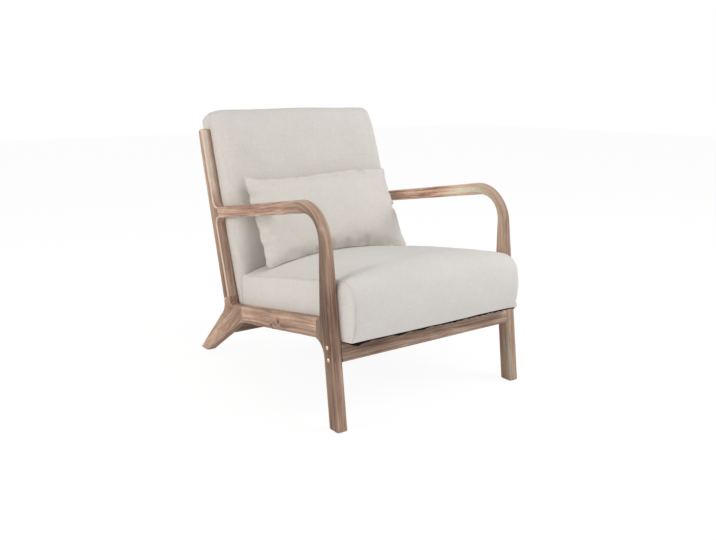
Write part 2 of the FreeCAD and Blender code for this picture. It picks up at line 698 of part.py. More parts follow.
def profile_wire(x, steps):
    """A closed section at x from lines (two points) and arcs (three points) of (depth, rise)."""
    edges = []
    for step in steps:
        points = [Vector(x, depth, rise) for depth, rise in step]
        if len(points) == 2:
            edges.append(Part.makeLine(*points))
        else:
            edges.append(Part.Arc(*points).toShape())
    return Part.Wire(edges)


def lofted(sections):
    """A solid through closed sections, straight from each to the next, facing outwards."""
    solid = Part.makeLoft(sections, True, True)
    if solid.Volume < 0:
        solid.reverse()
    return solid


def bowed(start, end, bow):
    """An arc step from start to end that swells by bow to the left of the way it goes."""
    run = end[0] - start[0], end[1] - start[1]
    length = math.hypot(*run)
    middle_point = middle(start, end)
    crest = (middle_point[0] - run[1] / length * bow, middle_point[1] + run[0] / length * bow)
    return start, crest, end


def seat_solid(skin):
    """The seat cushion with its box, drawn in by skin; open ended below when skin is set."""
    half_width = cushion_half_width
    radius = size("seat_edge_round")
    low = -20.0 if skin else 0.0
    side_depth = size("seat_side_depth")
    sections = []
    for x in side_stations(half_width, radius, (0.82, 0.66, 0.45, 0.22)):
        inset = edge_inset(x, half_width, radius) + skin
        swell = max(0.0, 1.0 - (x / half_width) ** 2)
        crown = size("seat_crown") * swell ** 0.9
        nose = size("seat_nose") + size("seat_nose_crown") * swell
        top = side_depth - inset + crown
        front_low = (inset, low)
        shoulder = (inset - nose, side_depth - size("seat_front_round") + crown * 0.3)
        roof_front = (inset - nose + size("seat_front_round") + crown * 0.9, top - crown * 0.12)
        roof_rear = rear_point(top - crown * 0.12, skin)
        rear_low = rear_point(low, skin)
        corner_run = math.dist(shoulder, roof_front)
        steps = [
            bowed(front_low, shoulder, size("seat_front_bow")),
            bowed(shoulder, roof_front, corner_run * 0.2),
            bowed(roof_front, roof_rear, 1.0 + crown * 0.12),
            (roof_rear, rear_low),
            (rear_low, front_low),
        ]
        sections.append(profile_wire(x * (1.0 - skin / half_width), steps))
    solid = lofted(sections)
    if skin:
        room = Part.makeBox(4 * half_width, 8 * side_depth, 4 * side_depth,
                            Vector(-2 * half_width, -side_depth, 0))
        solid = solid.common(room)
    return solid


def rear_point(rise, skin):
    """A point on the seat cushion's upright rear face, in the seat's frame."""
    upright_rear = upright((seat_rear - skin, 0.0), 0.0)
    level = falling(seat_point(0.0, rise), pitch)
    return in_seat_frame(meet(upright_rear, level))


def back_solid(skin, rear_open):
    """The back cushion, drawn in by skin; open at the rear when rear_open is set."""
    half_width = cushion_half_width
    radius = size("back_edge_round")
    rear = size("back_rear_set") + 12.0 if rear_open else size("back_rear_set")
    sections = []
    for x in side_stations(half_width, radius, (0.84, 0.78, 0.55, 0.28)):
        inset = edge_inset(x, half_width, radius) + skin
        over = max(0.0, abs(x) - (half_width - size("back_corner_round")))
        drop = size("back_corner_round") * 0.55 * (over / size("back_corner_round")) ** 2
        swell = max(0.0, 1.0 - (abs(x) / half_width) ** 2)
        top = size("back_height") - skin - drop + swell * 3.0
        head = size("back_head_depth") - inset
        belly = size("back_belly_depth") + size("back_crown") * swell - inset
        foot = max(size("back_foot_depth") - inset, 4.0)
        turn = size("back_top_round")
        rear_turn = size("back_rear_round")
        cut = 1.0 - math.sqrt(0.5)
        front_foot = bottom_point(foot, skin)
        rear_foot_point = bottom_point(-rear, skin)
        steps = [
            (front_foot, (-belly, size("back_belly_height")), (-head, top - turn)),
            ((-head, top - turn), (-head + turn * cut, top - turn * cut), (-head + turn, top)),
            ((-head + turn, top), (rear - rear_turn, top)),
            ((rear - rear_turn, top), (rear - rear_turn * cut, top - rear_turn * cut),
             (rear, top - rear_turn)),
            ((rear, top - rear_turn), rear_foot_point),
            (rear_foot_point, front_foot),
        ]
        sections.append(profile_wire(x * (1.0 - skin / half_width), steps))
    return lofted(sections)


def bottom_point(depth, skin):
    """A point on the back cushion's underside, as its own y and z."""
    column = (back_point(depth, 0.0), (sin(back_lean), cos(back_lean)))
    extra = 12.0 if skin else 0.0
    level = falling(seat_point(0.0, box_top - extra), pitch)
    _, rise = in_back_frame(meet(column, level))
    return -depth, rise


def local_box(name, corner, lengths, placement):
    """A board with named or plain lengths, at corner of a tilted frame."""
    board = doc.addObject("Part::Box", name)
    for axis, length in zip(("Length", "Width", "Height"), lengths):
        if isinstance(length, str):
            board.setExpression(axis, length)
        else:
            setattr(board, axis, length)
    board.Placement = placement.multiply(Placement(Vector(*corner), Rotation()))
    return board


def feature(label, shape, placement=None):
    item = doc.addObject("Part::Feature", label)
    item.Shape = shape
    if placement is not None:
        item.Placement = placement
    return item


# Seat box
skin = size("cover_thickness")
play = size("box_play")
board = size("box_board")
box_half = cushion_half_width - skin - play
box_front = size("box_front_set")
panel_foot = in_seat_frame(meet(back_rear_line, seat_floor))
box_rear = panel_foot[0] - size("box_rear_set")
box_length = box_rear - box_front
rear_low_depth = rear_point(0.0, 0.0)[0]
rear_high_depth = rear_point(box_top, 0.0)[0]
cross_rear = min(rear_low_depth, rear_high_depth) - skin - play
inner_width = "%r - 2 * Sizes.box_board" % (2 * box_half)

seat_boards = {
    "seat_frame_left": ((-box_half, box_front, 0.0), ("Sizes.box_board", box_length, "Sizes.seat_box_depth")),
    "seat_frame_right": ((box_half - board, box_front, 0.0),
                         ("Sizes.box_board", box_length, "Sizes.seat_box_depth")),
    "seat_frame_front": ((-box_half + board, box_front, 0.0),
                         (inner_width, "Sizes.box_board", "Sizes.seat_box_depth")),
    "seat_frame_cross": ((-box_half + board, cross_rear - board, 0.0),
                         (inner_width, "Sizes.box_board", "Sizes.seat_box_depth")),
    "seat_frame_rear": ((-box_half + board, box_rear - board, 0.0),
                        (inner_width, "Sizes.box_board", "Sizes.seat_box_depth")),
}
seat_blanks = {}
for name, (corner, lengths) in seat_boards.items():
    seat_blanks[name] = local_box(name + "_board", corner, lengths, seat_placement)

# Screws from the seat box into the side rails, and from the back frame into the posts
screw_shapes = {"seat": [], "back": []}
screw_drills = {"left": {"rail": [], "post": []}, "right": {"rail": [], "post": []}}
frame_drills = {"left": {"seat": [], "back": []}, "right": {"seat": [], "back": []}}


def side_screw(unit, side, number, point, inside):
    """A screw from inside an upholstery frame, outwards into the side frame."""
    direction = -1 if side == "left" else 1
    head_x = direction * inside
    start = on_plane(head_x, point)
    toward = Vector(direction, 0, 0)
    reach = side_inner + size("screw_bite") - inside
    name = "%s_%s_screw_%d" % (unit, side, number)
    shank = Part.makeCylinder(size("screw_diameter") / 2, reach, start, toward)
    head = Part.makeCylinder(size("screw_head_diameter") / 2, size("screw_head_height"),
                             start - toward * size("screw_head_height"), toward)
    screw_shapes[unit].append(shank.fuse(head).removeSplitter())
    hole = cylinder(name + "_hole", "Sizes.screw_diameter", repr(reach + size("hole_fit")),
                    start - toward * 0.5, toward, "Sizes.hole_fit")
    hole.setExpression("Height", "%r + Sizes.hole_fit + 0.5" % reach)
    target = "rail" if unit == "seat" else "post"
    screw_drills[side][target].append(hole)
    frame_drills[side][unit].append(hole)


rail_middle_line = middle(rail_top[0], rail_bottom[0]), rail_top[1]
for side in ("left", "right"):
    for number, share in enumerate((0.16, 0.45, 0.74), start=1):
        depth = box_front + share * box_length
        across_line = (seat_point(depth, 0.0), (sin(pitch), cos(pitch)))
        side_screw("seat", side, number, meet(across_line, rail_middle_line), box_half - board)

# Back frame, in the back's own frame: y runs to the rear and z up the posts
back_rear_face = size("back_rear_set") - size("panel_thickness") - size("back_frame_rear_gap")
frame_top = size("back_height") - size("back_frame_drop")
frame_half = box_half
frame_front = back_rear_face - size("back_frame_depth")
frame_foot = max(bottom_point(-back_rear_face, 0.0)[1], bottom_point(-frame_front, 0.0)[1]) + play
uprights = {
    "back_frame_left": (-frame_half, frame_front, frame_foot),
    "back_frame_right": (frame_half - size("back_board"), frame_front, frame_foot),
}
back_blanks = {}
for name, corner in uprights.items():
    lengths = ("Sizes.back_board", "Sizes.back_frame_depth", frame_top - frame_foot)
    back_blanks[name] = local_box(name + "_board", corner, lengths, back_placement)
rail_length = 2 * (frame_half - size("back_board"))
cross_levels = {
    "back_frame_bottom": frame_foot,
    "back_frame_middle": (frame_foot + frame_top - size("back_rail_width")) / 2,
    "back_frame_top": frame_top - size("back_rail_width"),
}
SCREW_SHARE = 0.35
levels = list(cross_levels.values())
screw_bays = [(low + size("back_rail_width"), high) for low, high in zip(levels, levels[1:])]
for name, level in cross_levels.items():
    corner = (-frame_half + size("back_board"), frame_front + size("webbing_thickness"), level)
    lengths = (rail_length, "Sizes.back_board", "Sizes.back_rail_width")
    rail_board = local_box(name, corner, lengths, back_placement)
    rail_board.Label = name

for side in ("left", "right"):
    for number, (low, high) in enumerate(screw_bays, start=1):
        level = low + SCREW_SHARE * (high - low)
        row = (back_point(0.0, level), (-cos(back_lean), sin(back_lean)))
        front_here = meet(row, post_front)
        rear_here = meet(row, post_rear)
        side_screw("back", side, number, middle(front_here, rear_here),
                   frame_half - size("back_board"))

for unit in ("seat", "back"):
    feature(unit + "_frame_screws", Part.makeCompound(screw_shapes[unit]))
for side in ("left", "right"):
    for unit, blanks in (("seat", seat_blanks), ("back", back_blanks)):
        label = "%s_frame_%s" % (unit, side)
        drilled(label, blanks[label], frame_drills[side][unit])
for name in ("seat_frame_front", "seat_frame_cross", "seat_frame_rear"):
    seat_blanks[name].Label = name

# Corner blocks of the seat box
block = size("corner_block")
blocks = []
for x_sign in (-1, 1):
    for depth, depth_sign in ((box_front + board, 1), (cross_rear - board, -1)):
        corner_x = x_sign * (box_half - board)
        points = [
            Vector(corner_x, depth, 0),
            Vector(corner_x - x_sign * block, depth, 0),
            Vector(corner_x, depth + depth_sign * block, 0),
        ]
        face = Part.Face(Part.makePolygon(points + points[:1]))
        blocks.append(face.extrude(Vector(0, 0, size("corner_block_height"))))
feature("seat_corner_blocks", Part.makeCompound(blocks), seat_placement)

# Seat webbing: straps front to back on the box, and straps across over them
thick = size("webbing_thickness")
wide = size("webbing_width")
strap_pitch = size("webbing_pitch")


def strap_places(low, high):
    """Centres of as many straps as fit between low and high, a pitch apart."""
    count = max(2, int((high - low - wide) / strap_pitch) + 1)
    start = (low + high) / 2 - (count - 1) * strap_pitch / 2
    return [start + index * strap_pitch for index in range(count)]


lengthwise = []
for x in strap_places(-box_half + board, box_half - board):
    lengthwise.append(Part.makeBox(wide, cross_rear - box_front, thick,
                                   Vector(x - wide / 2, box_front, box_top)))
feature("seat_webbing_lengthwise", Part.makeCompound(lengthwise), seat_placement)
crosswise = []
for depth in strap_places(box_front + board, cross_rear - board):
    crosswise.append(Part.makeBox(2 * box_half, wide, thick,
                                  Vector(-box_half, depth - wide / 2, box_top + thick)))
feature("seat_webbing_crosswise", Part.makeCompound(crosswise), seat_placement)

# Seat cover, foam and dust cover
seat_outer = seat_solid(0.0)
seat_inner = seat_solid(skin)
box_passage = Part.makeBox(2 * (cushion_half_width - skin), 2 * box_length, box_top + play,
                           Vector(-cushion_half_width + skin, box_front, 0))
seat_shell = seat_outer.cut(seat_inner).cut(box_passage)
seat_holes = []
for side in ("left", "right"):
    seat_holes += frame_drills[side]["seat"]
seat_cover_blank = feature("seat_cover_blank", seat_shell, seat_placement)
drilled("seat_cover", seat_cover_blank, seat_holes)
foam_floor = box_top + 2 * thick
box_room = Part.makeBox(4 * box_half, 2 * box_length, foam_floor + 60.0,
                        Vector(-2 * box_half, box_front - play, -60.0))
feature("seat_foam", seat_inner.cut(box_room), seat_placement)

dust_inset = size("dust_cover_inset")
dust = local_box("seat_dust_cover",
                 (-cushion_half_width + dust_inset, dust_inset, -size("dust_cover_thickness")),
                 (2 * (cushion_half_width - dust_inset), box_rear - dust_inset,
                  "Sizes.dust_cover_thickness"), seat_placement)


def band_block(half_width, rear):
    """The seat box behind the seat cushion, cut upright where the cushion ends."""
    outline = [rear_point(0.0, -play), rear_point(box_top, -play), (rear, box_top), (rear, 0.0)]
    points = [Vector(-half_width, depth, rise) for depth, rise in outline]
    return Part.Face(Part.makePolygon(points + points[:1])).extrude(Vector(2 * half_width, 0, 0))


feature("seat_rear_band", band_block(cushion_half_width, box_rear + skin)
        .cut(Part.makeBox(2 * (cushion_half_width - skin), 2 * box_length, 4 * box_top,
                          Vector(-cushion_half_width + skin, box_rear - 2 * box_length, -box_top))),
        seat_placement)

# Back cover, foam, webbing and outside back panel
back_outer = back_solid(0.0, False)
back_inner = back_solid(skin, True)
back_shell = back_outer.cut(back_inner)
back_holes = []
for side in ("left", "right"):
    back_holes += frame_drills[side]["back"]
back_cover_blank = feature("back_cover_blank", back_shell, back_placement)
drilled("back_cover", back_cover_blank, back_holes)

back_straps = []
for x in strap_places(-frame_half + size("back_board"), frame_half - size("back_board")):
    back_straps.append(Part.makeBox(wide, thick, frame_top - frame_foot,
                                    Vector(x - wide / 2, frame_front, frame_foot)))
feature("back_webbing", Part.makeCompound(back_straps), back_placement)

frame_room = Part.makeBox(4 * frame_half, frame_top, 2 * frame_top + play,
                          Vector(-2 * frame_half, frame_front - play, -frame_top))
above_room = Part.makeBox(4 * frame_half, frame_top, frame_top,
                          Vector(-2 * frame_half, back_rear_face, frame_top))
back_foam_shape = back_inner.cut(frame_room).cut(above_room)
below_reach = 2 * size("back_belly_depth")
floor_face = bottom_point(-3 * size("back_rear_set"), 0.0), bottom_point(below_reach, 0.0)
below = Part.Face(Part.makePolygon([
    Vector(-2 * frame_half, floor_face[0][0], floor_face[0][1]),
    Vector(-2 * frame_half, floor_face[1][0], floor_face[1][1]),
    Vector(-2 * frame_half, floor_face[1][0], floor_face[1][1] - below_reach),
    Vector(-2 * frame_half, floor_face[0][0], floor_face[0][1] - below_reach),
    Vector(-2 * frame_half, floor_face[0][0], floor_face[0][1]),
])).extrude(Vector(4 * frame_half, 0, 0))
feature("back_foam", back_foam_shape.cut(below), back_placement)

panel_half = cushion_half_width - size("panel_inset")
panel_foot_rise = bottom_point(-size("back_rear_set"), 0.0)[1] + play
panel_top = size("back_height") - size("back_rear_round") - size("panel_inset")
panel_drop = size("back_corner_round") * 0.55
panel_outline = [
    (-panel_half, panel_foot_rise),
    (panel_half, panel_foot_rise),
    (panel_half, panel_top - panel_drop),
    (panel_half - size("back_corner_round"), panel_top),
    (-panel_half + size("back_corner_round"), panel_top),
    (-panel_half, panel_top - panel_drop),
]
panel_plane = size("back_rear_set") - size("panel_thickness")
panel_vertices = [Vector(x, panel_plane, z) for x, z in panel_outline]
panel_face = Part.Face(Part.makePolygon(panel_vertices + panel_vertices[:1]))
feature("back_rear_panel", panel_face.extrude(Vector(0, size("panel_thickness"), 0))
        .common(back_solid(skin, True)), back_placement)


# Side frames
def side_frame(side):
    """The six glued members of one side frame, from joint to joint."""
    def corner(first, second, radius=0.0):
        y, z = meet(first, second)
        return y, z, radius

    arm_mid = mid_of_cut(arm_elbow_cut, arm_top, arm_bottom)
    elbow_mid = mid_of_cut(elbow_leg_cut, leg_front, leg_rear_high)
    rail_mid_front = mid_of_cut(leg_rail_cut, rail_top, rail_bottom)
    rail_mid_rear = mid_of_cut(rail_rear_cut, rail_top, rail_bottom)
    post_low_mid = mid_of_cut(post_leg_cut, post_front, post_rear)
    post_arm_mid = mid_of_cut(post_arm_cut, arm_top, arm_bottom)
    drills = {
        "arm_elbow": joint_dowels(side, "arm_elbow", arm_mid, arm_top),
        "elbow_leg": joint_dowels(side, "elbow_leg", elbow_mid, leg_rear_high),
        "leg_rail": joint_dowels(side, "leg_rail", rail_mid_front, rail_top, rail_rear_cut),
        "rail_rear": joint_dowels(side, "rail_rear", rail_mid_rear, rail_top, rail_rear_cut),
        "post_leg": joint_dowels(side, "post_leg", post_low_mid, post_rear),
        "post_arm": joint_dowels(side, "post_arm", post_arm_mid, arm_top),
    }

    post = outline_body(side + "_rear_post_blank", [
        corner(post_leg_cut, post_front),
        corner(post_front, arm_bottom, size("arm_blend_low")),
        corner(post_arm_cut, arm_bottom),
        corner(post_arm_cut, arm_top),
        corner(post_front, arm_top, size("arm_blend_high")),
        (post_top_front[0], post_top_front[1], size("post_top_round")),
        (post_top_rear[0], post_top_rear[1], size("post_top_round")),
        (taper_point[0], taper_point[1], size("post_top_height")),
        corner(post_leg_cut, post_rear),
    ], side, keep_square=(post_leg_cut, post_arm_cut))
    drilled(side + "_rear_post", post, drills["post_leg"] + drills["post_arm"]
            + screw_drills[side]["post"])

    arm = outline_body(side + "_armrest_blank", [
        corner(arm_elbow_cut, arm_top),
        corner(post_arm_cut, arm_top),
        corner(post_arm_cut, arm_bottom),
        corner(arm_elbow_cut, arm_bottom),
    ], side, keep_square=(arm_elbow_cut, post_arm_cut))
    drilled(side + "_armrest", arm, drills["arm_elbow"] + drills["post_arm"])

    elbow = outline_body(side + "_arm_elbow_blank", [
        corner(elbow_leg_cut, leg_front),
        corner(leg_front, arm_top, size("elbow_outer_radius")),
        corner(arm_elbow_cut, arm_top),
        corner(arm_elbow_cut, arm_bottom),
        corner(leg_rear_high, arm_bottom, size("elbow_inner_radius")),
        corner(elbow_leg_cut, leg_rear_high),
    ], side, keep_square=(arm_elbow_cut, elbow_leg_cut))
    drilled(side + "_arm_elbow", elbow, drills["arm_elbow"] + drills["elbow_leg"])

    leg = outline_body(side + "_front_leg_blank", [
        corner(floor, leg_front),
        corner(elbow_leg_cut, leg_front),
        corner(elbow_leg_cut, leg_rear_high),
        corner(leg_rear_high, rail_top, size("leg_blend_high")),
        corner(leg_rail_cut, rail_top),
        cut_round(leg_rear_low, rail_bottom, size("leg_blend_low"), leg_rail_cut, False),
        corner(floor, leg_rear_low),
    ], side, keep_square=(elbow_leg_cut, leg_rail_cut, floor))
    add_foot_chamfer(leg, leg.Tip, side + "_front_leg")
    glide_hole = glide_holes[side]["front"]
    drilled(side + "_front_leg", leg, drills["elbow_leg"] + drills["leg_rail"]
            + bolt_drills[side] + [glide_hole])

    rail = outline_body(side + "_side_rail_blank", [
        corner(leg_rail_cut, rail_top),
        corner(rail_rear_cut, rail_top),
        corner(rail_rear_cut, rail_bottom),
        cut_round(leg_rear_low, rail_bottom, size("leg_blend_low"), leg_rail_cut, True),
    ], side, keep_square=(leg_rail_cut, rail_rear_cut))
    drilled(side + "_side_rail", rail, drills["leg_rail"] + drills["rail_rear"]
            + screw_drills[side]["rail"])

    rear = outline_body(side + "_rear_leg_blank", [
        corner(rail_rear_cut, rail_top),
        (post_foot[0], post_foot[1], size("rail_blend")),
        corner(post_leg_cut, post_front),
        corner(post_leg_cut, post_rear),
        corner(post_rear, rear_leg_back,
               radius_of_bend(post_rear, rear_leg_back, size("rear_leg_blend_back"))),
        corner(floor, rear_leg_back),
        corner(floor, rear_leg_front),
        corner(rear_leg_front, rail_bottom,
               radius_of_bend(rear_leg_front, rail_bottom, size("rear_leg_blend_front"))),
        corner(rail_rear_cut, rail_bottom),
    ], side, keep_square=(rail_rear_cut, post_leg_cut, floor))
    add_foot_chamfer(rear, rear.Tip, side + "_rear_leg")
    drilled(side + "_rear_leg", rear, drills["rail_rear"] + drills["post_leg"]
            + rear_drills[side] + [glide_holes[side]["rear"]])


# Foot glides
front_foot_middle = middle(meet(floor, leg_front), meet(floor, leg_rear_low))
rear_foot_middle = middle(meet(floor, rear_leg_back), meet(floor, rear_leg_front))
glide_holes = {"left": {}, "right": {}}
glide_shapes = []
for side in ("left", "right"):
    centre_x = OUTER_SIDES[side][1] + size("stock") / 2
    for place, point in (("front", front_foot_middle), ("rear", rear_foot_middle)):
        base = Vector(centre_x, point[0], 0.0)
        disc = Part.makeCylinder(size("glide_diameter") / 2, size("glide_height"), base)
        rim = [edge for edge in disc.Edges if all(abs(v.Z) < 1e-6 for v in edge.Vertexes)]
        disc = disc.makeChamfer(size("glide_height") * 0.3, rim)
        up = Vector(0, 0, 1)
        pin = Part.makeCylinder(size("glide_pin_diameter") / 2, size("glide_pin_length"),
                                base + up * size("glide_height"), up)
        glide_shapes.append(disc.fuse(pin).removeSplitter())
        hole = cylinder("%s_%s_glide_hole" % (side, place), "Sizes.glide_pin_diameter",
                        "Sizes.glide_pin_length + Sizes.hole_fit",
                        base + up * size("glide_height"), up, "Sizes.hole_fit")
        glide_holes[side][place] = hole
feature("foot_glides", Part.makeCompound(glide_shapes))

for side in ("left", "right"):
    side_frame(side)
    dowels = doc.addObject("Part::Compound", side + "_frame_dowels")
    dowels.Links = dowel_joints[side]


# Lumbar pillow: it leans on the back cushion and stands on the seat
def pillow_section(share, skin):
    """Half height, half edge, half thickness and droop, share of the way to the pillow's end."""
    tall = (size("pillow_height") + size("pillow_ear") * share ** 2) / 2 - skin
    edge = size("pillow_edge") / 2 - skin * 0.5
    swell = (size("pillow_thickness") / 2 - edge - skin) * (1.0 - share ** 2.4) ** 0.75
    bulge = edge + max(swell, 1.2)
    return tall, edge, bulge, size("pillow_droop") * share ** 2


def pillow_solid(skin):
    half = size("pillow_width") / 2 - skin
    sections = []
    shares = (1.0, 0.97, 0.9, 0.78, 0.62, 0.42, 0.2)
    for share in sorted([-s for s in shares] + [0.0] + list(shares)):
        x = half * share
        tall, edge, bulge, droop = pillow_section(abs(share), skin)
        low = -tall - droop
        high = tall - droop
        steps = [
            ((-edge, low), (-bulge, -droop), (-edge, high)),
            ((-edge, high), (edge, high)),
            ((edge, high), (bulge, -droop), (edge, low)),
            ((edge, low), (-edge, low)),
        ]
        sections.append(profile_wire(x, steps))
    return lofted(sections)


def pillow_centre():
    """The pillow's middle, so that it just clears the seat's crown and the back's belly."""
    tall, edge, bulge, _ = pillow_section(0.0, 0.0)
    lean = size("pillow_tilt")
    outline = []
    for arc_sign in (-1, 1):
        arc = Part.Arc(Vector(arc_sign * edge, -tall, 0), Vector(arc_sign * bulge, 0, 0),
                       Vector(arc_sign * edge, tall, 0))
        outline += [(p.x, p.y) for p in arc.toShape().discretize(41)]
    gap = size("pillow_gap")
    crest = size("seat_side_depth") + size("seat_crown")
    y, z = back_point(size("back_belly_depth") + bulge, size("back_belly_height"))
    for _ in range(60):
        placed = [(y + a * cos(lean) + b * sin(lean), z - a * sin(lean) + b * cos(lean))
                  for a, b in outline]
        above = min(in_seat_frame(point)[1] for point in placed) - crest - gap
        z -= above / cos(pitch)
        ahead = min(math.dist(point, belly_centre) for point in placed) - belly_radius - gap
        y += ahead
    return y, z


pillow_place = Placement(on_plane(0, pillow_centre()), Rotation(Vector(1, 0, 0), -size("pillow_tilt")))
pillow_outer = pillow_solid(0.0)
pillow_inner = pillow_solid(skin)
feature("pillow_cover", pillow_outer.cut(pillow_inner), pillow_place)
feature("pillow_insert", pillow_inner, pillow_place)

doc.recompute()

NODES = [side + "_" + name for side in ("left", "right") for name in (
    "rear_post", "armrest", "arm_elbow", "front_leg", "side_rail", "rear_leg", "frame_dowels")]
NODES += [
    "front_rail", "rear_rail", "front_rail_bolts", "front_rail_barrel_nuts", "rear_rail_dowels",
    "foot_glides", "seat_frame_left", "seat_frame_right", "seat_frame_front", "seat_frame_cross",
    "seat_frame_rear", "seat_corner_blocks", "seat_frame_screws", "seat_webbing_lengthwise",
    "seat_webbing_crosswise", "seat_foam", "seat_cover", "seat_dust_cover", "seat_rear_band",
    "back_frame_left", "back_frame_right", "back_frame_bottom", "back_frame_middle",
    "back_frame_top", "back_frame_screws", "back_webbing", "back_foam", "back_cover",
    "back_rear_panel", "pillow_cover", "pillow_insert",
]

failed = [item.Name for item in doc.Objects if "Invalid" in item.State or "Error" in item.State]
if failed:
    raise RuntimeError("objects that did not build: " + ", ".join(failed))
shapes = {}
for label in NODES:
    found = doc.getObjectsByLabel(label)
    if len(found) != 1:
        raise RuntimeError("not exactly one object for " + label)
    shape = found[0].Shape
    if shape.isNull() or not shape.isValid() or not shape.Solids:
        raise RuntimeError("bad shape for " + label)
    shapes[label] = shape

os.makedirs("parts", exist_ok=True)
for label, shape in shapes.items():
    shape.exportStep("parts/%s.step" % label)
whole = Part.makeCompound(list(shapes.values())).BoundBox
print("nodes", len(shapes))
print("box x %.1f %.1f  y %.1f %.1f  z %.1f %.1f" % (
    whole.XMin, whole.XMax, whole.YMin, whole.YMax, whole.ZMin, whole.ZMax))
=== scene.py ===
import math
from functools import partialmethod

import bpy
import numpy as np
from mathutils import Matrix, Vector, noise
from mathutils.bvhtree import BVHTree
from mathutils.kdtree import KDTree


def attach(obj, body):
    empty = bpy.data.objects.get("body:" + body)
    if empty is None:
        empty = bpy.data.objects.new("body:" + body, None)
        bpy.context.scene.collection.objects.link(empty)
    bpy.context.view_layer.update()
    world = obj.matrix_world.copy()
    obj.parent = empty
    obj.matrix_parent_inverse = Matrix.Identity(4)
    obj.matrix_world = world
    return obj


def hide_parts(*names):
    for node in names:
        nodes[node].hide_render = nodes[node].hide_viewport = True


# Lounge chair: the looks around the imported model. Metres, Z up, the front faces -Y.
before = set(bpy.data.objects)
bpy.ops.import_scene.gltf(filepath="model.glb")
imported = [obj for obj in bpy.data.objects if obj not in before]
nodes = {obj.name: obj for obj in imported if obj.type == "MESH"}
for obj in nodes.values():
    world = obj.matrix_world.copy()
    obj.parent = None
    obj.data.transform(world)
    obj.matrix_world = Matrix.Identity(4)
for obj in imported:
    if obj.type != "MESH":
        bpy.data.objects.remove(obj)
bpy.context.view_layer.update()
scene = bpy.context.scene

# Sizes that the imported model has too
SEAT_ORIGIN = (-0.411, 0.238)
SEAT_PITCH = math.radians(9.1)
BACK_ORIGIN = (0.17841, 0.0)
BACK_LEAN = math.radians(15.22)
POST_LEAN = math.radians(16.22)
HALF_WIDTH = 0.290
SEAT_REAR_Y = 0.1718
LEG_FRONT_Y = -0.400
LEG_LEAN = math.radians(7.35)
ARM_HEIGHT = 0.5905
BOX_REAR = 0.651
BOX_TOP = 0.0613

CAMERA_PLACE = (-1.311, -1.879, 0.850)
CAMERA_AZIMUTH = math.radians(-35.33)
CAMERA_ELEVATION = math.radians(13.38)
CAMERA_LENS = 38.46
SENSOR_WIDTH = 36.0


def aimed(name, data, place, way):
    """Puts a camera or a lamp in the scene, looking along way."""
    obj = bpy.data.objects.new(name, data)
    scene.collection.objects.link(obj)
    obj.location = place
    obj.rotation_mode = "QUATERNION"
    obj.rotation_quaternion = way.to_track_quat("-Z", "Y")
    return obj


def make_camera():
    """The camera, at the photograph's viewpoint."""
    back = Vector((math.sin(CAMERA_AZIMUTH) * math.cos(CAMERA_ELEVATION),
                   -math.cos(CAMERA_AZIMUTH) * math.cos(CAMERA_ELEVATION), math.sin(CAMERA_ELEVATION)))
    data = bpy.data.cameras.new("Camera")
    data.sensor_width = SENSOR_WIDTH
    data.lens = CAMERA_LENS
    scene.camera = aimed("Camera", data, CAMERA_PLACE, -back)


make_camera()


class Nodes:
    """A material's or world's node tree, with short ways to add and join nodes."""

    def __init__(self, tree):
        self.tree = tree
        tree.nodes.clear()

    def add(self, kind, inputs=None, **settings):
        node = self.tree.nodes.new("ShaderNode" + kind)
        for name, value in settings.items():
            setattr(node, name, value)
        for name, value in (inputs or {}).items():
            self.feed(node.inputs[name], value)
        return node

    def feed(self, socket, value):
        if isinstance(value, bpy.types.NodeSocket):
            self.tree.links.new(value, socket)
        elif isinstance(value, bpy.types.Node):
            self.tree.links.new(value.outputs[0], socket)
        else:
            socket.default_value = value

    def math(self, operation, *values):
        return self.add("Math", dict(enumerate(values)), operation=operation).outputs[0]

    times = partialmethod(math, "MULTIPLY")
    plus = partialmethod(math, "ADD")
    minus = partialmethod(math, "SUBTRACT")
    larger = partialmethod(math, "MAXIMUM")
    size = partialmethod(math, "ABSOLUTE")

    def part(self, vector, axis):
        """One of a vector's three numbers."""
        return self.add("SeparateXYZ", {"Vector": vector}).outputs[axis]

    def vector(self, x, y, z):
        return self.add("CombineXYZ", {"X": x, "Y": y, "Z": z}).outputs[0]

    def vectors(self, operation, first, second, output="Vector"):
        return self.add("VectorMath", {0: first, 1: second}, operation=operation).outputs[output]

    def along(self, place, origin, way):
        """How far place lies from origin along way."""
        return self.vectors("DOT_PRODUCT", self.vectors("SUBTRACT", place, origin), way, "Value")

    def object_place(self):
        return self.add("TexCoord").outputs["Object"]

    def mix(self, factor, first, second, blend="MIX"):
        inputs = {0: factor, 6: first, 7: second}
        return self.add("Mix", inputs, data_type="RGBA", blend_type=blend).outputs[2]

    def ramp(self, factor, stops):
        node = self.add("ValToRGB")
        elements = node.color_ramp.elements
        while len(elements) < len(stops):
            elements.new(0.5)
        for element, (place, colour) in zip(elements, stops):
            element.position = place
            element.color = colour
        self.feed(node.inputs[0], factor)
        return node.outputs[0]

    def steps(self, value, low, high, to_low=0.0, to_high=1.0):
        """A smooth step of value from low to high."""
        inputs = {"Value": value, "From Min": low, "From Max": high, "To Min": to_low, "To Max": to_high}
        return self.add("MapRange", inputs, interpolation_type="SMOOTHSTEP").outputs[0]

    def mapping(self, vector, **changes):
        inputs = {key.capitalize(): value for key, value in changes.items()}
        return self.add("Mapping", {"Vector": vector, **inputs}).outputs[0]

    def noise(self, vector, scale, detail=2.0, rough=0.5):
        """Noise with one scale, or with one for each axis."""
        if isinstance(scale, tuple):
            vector = self.mapping(vector, scale=scale)
            scale = 1.0
        return self.add("TexNoise", {"Vector": vector, "Scale": scale, "Detail": detail,
                                     "Roughness": rough}).outputs[0]

    def bump(self, shader, height, strength, distance):
        relief = self.add("Bump", {"Strength": strength, "Distance": distance, "Height": height})
        self.feed(shader.inputs["Normal"], relief)


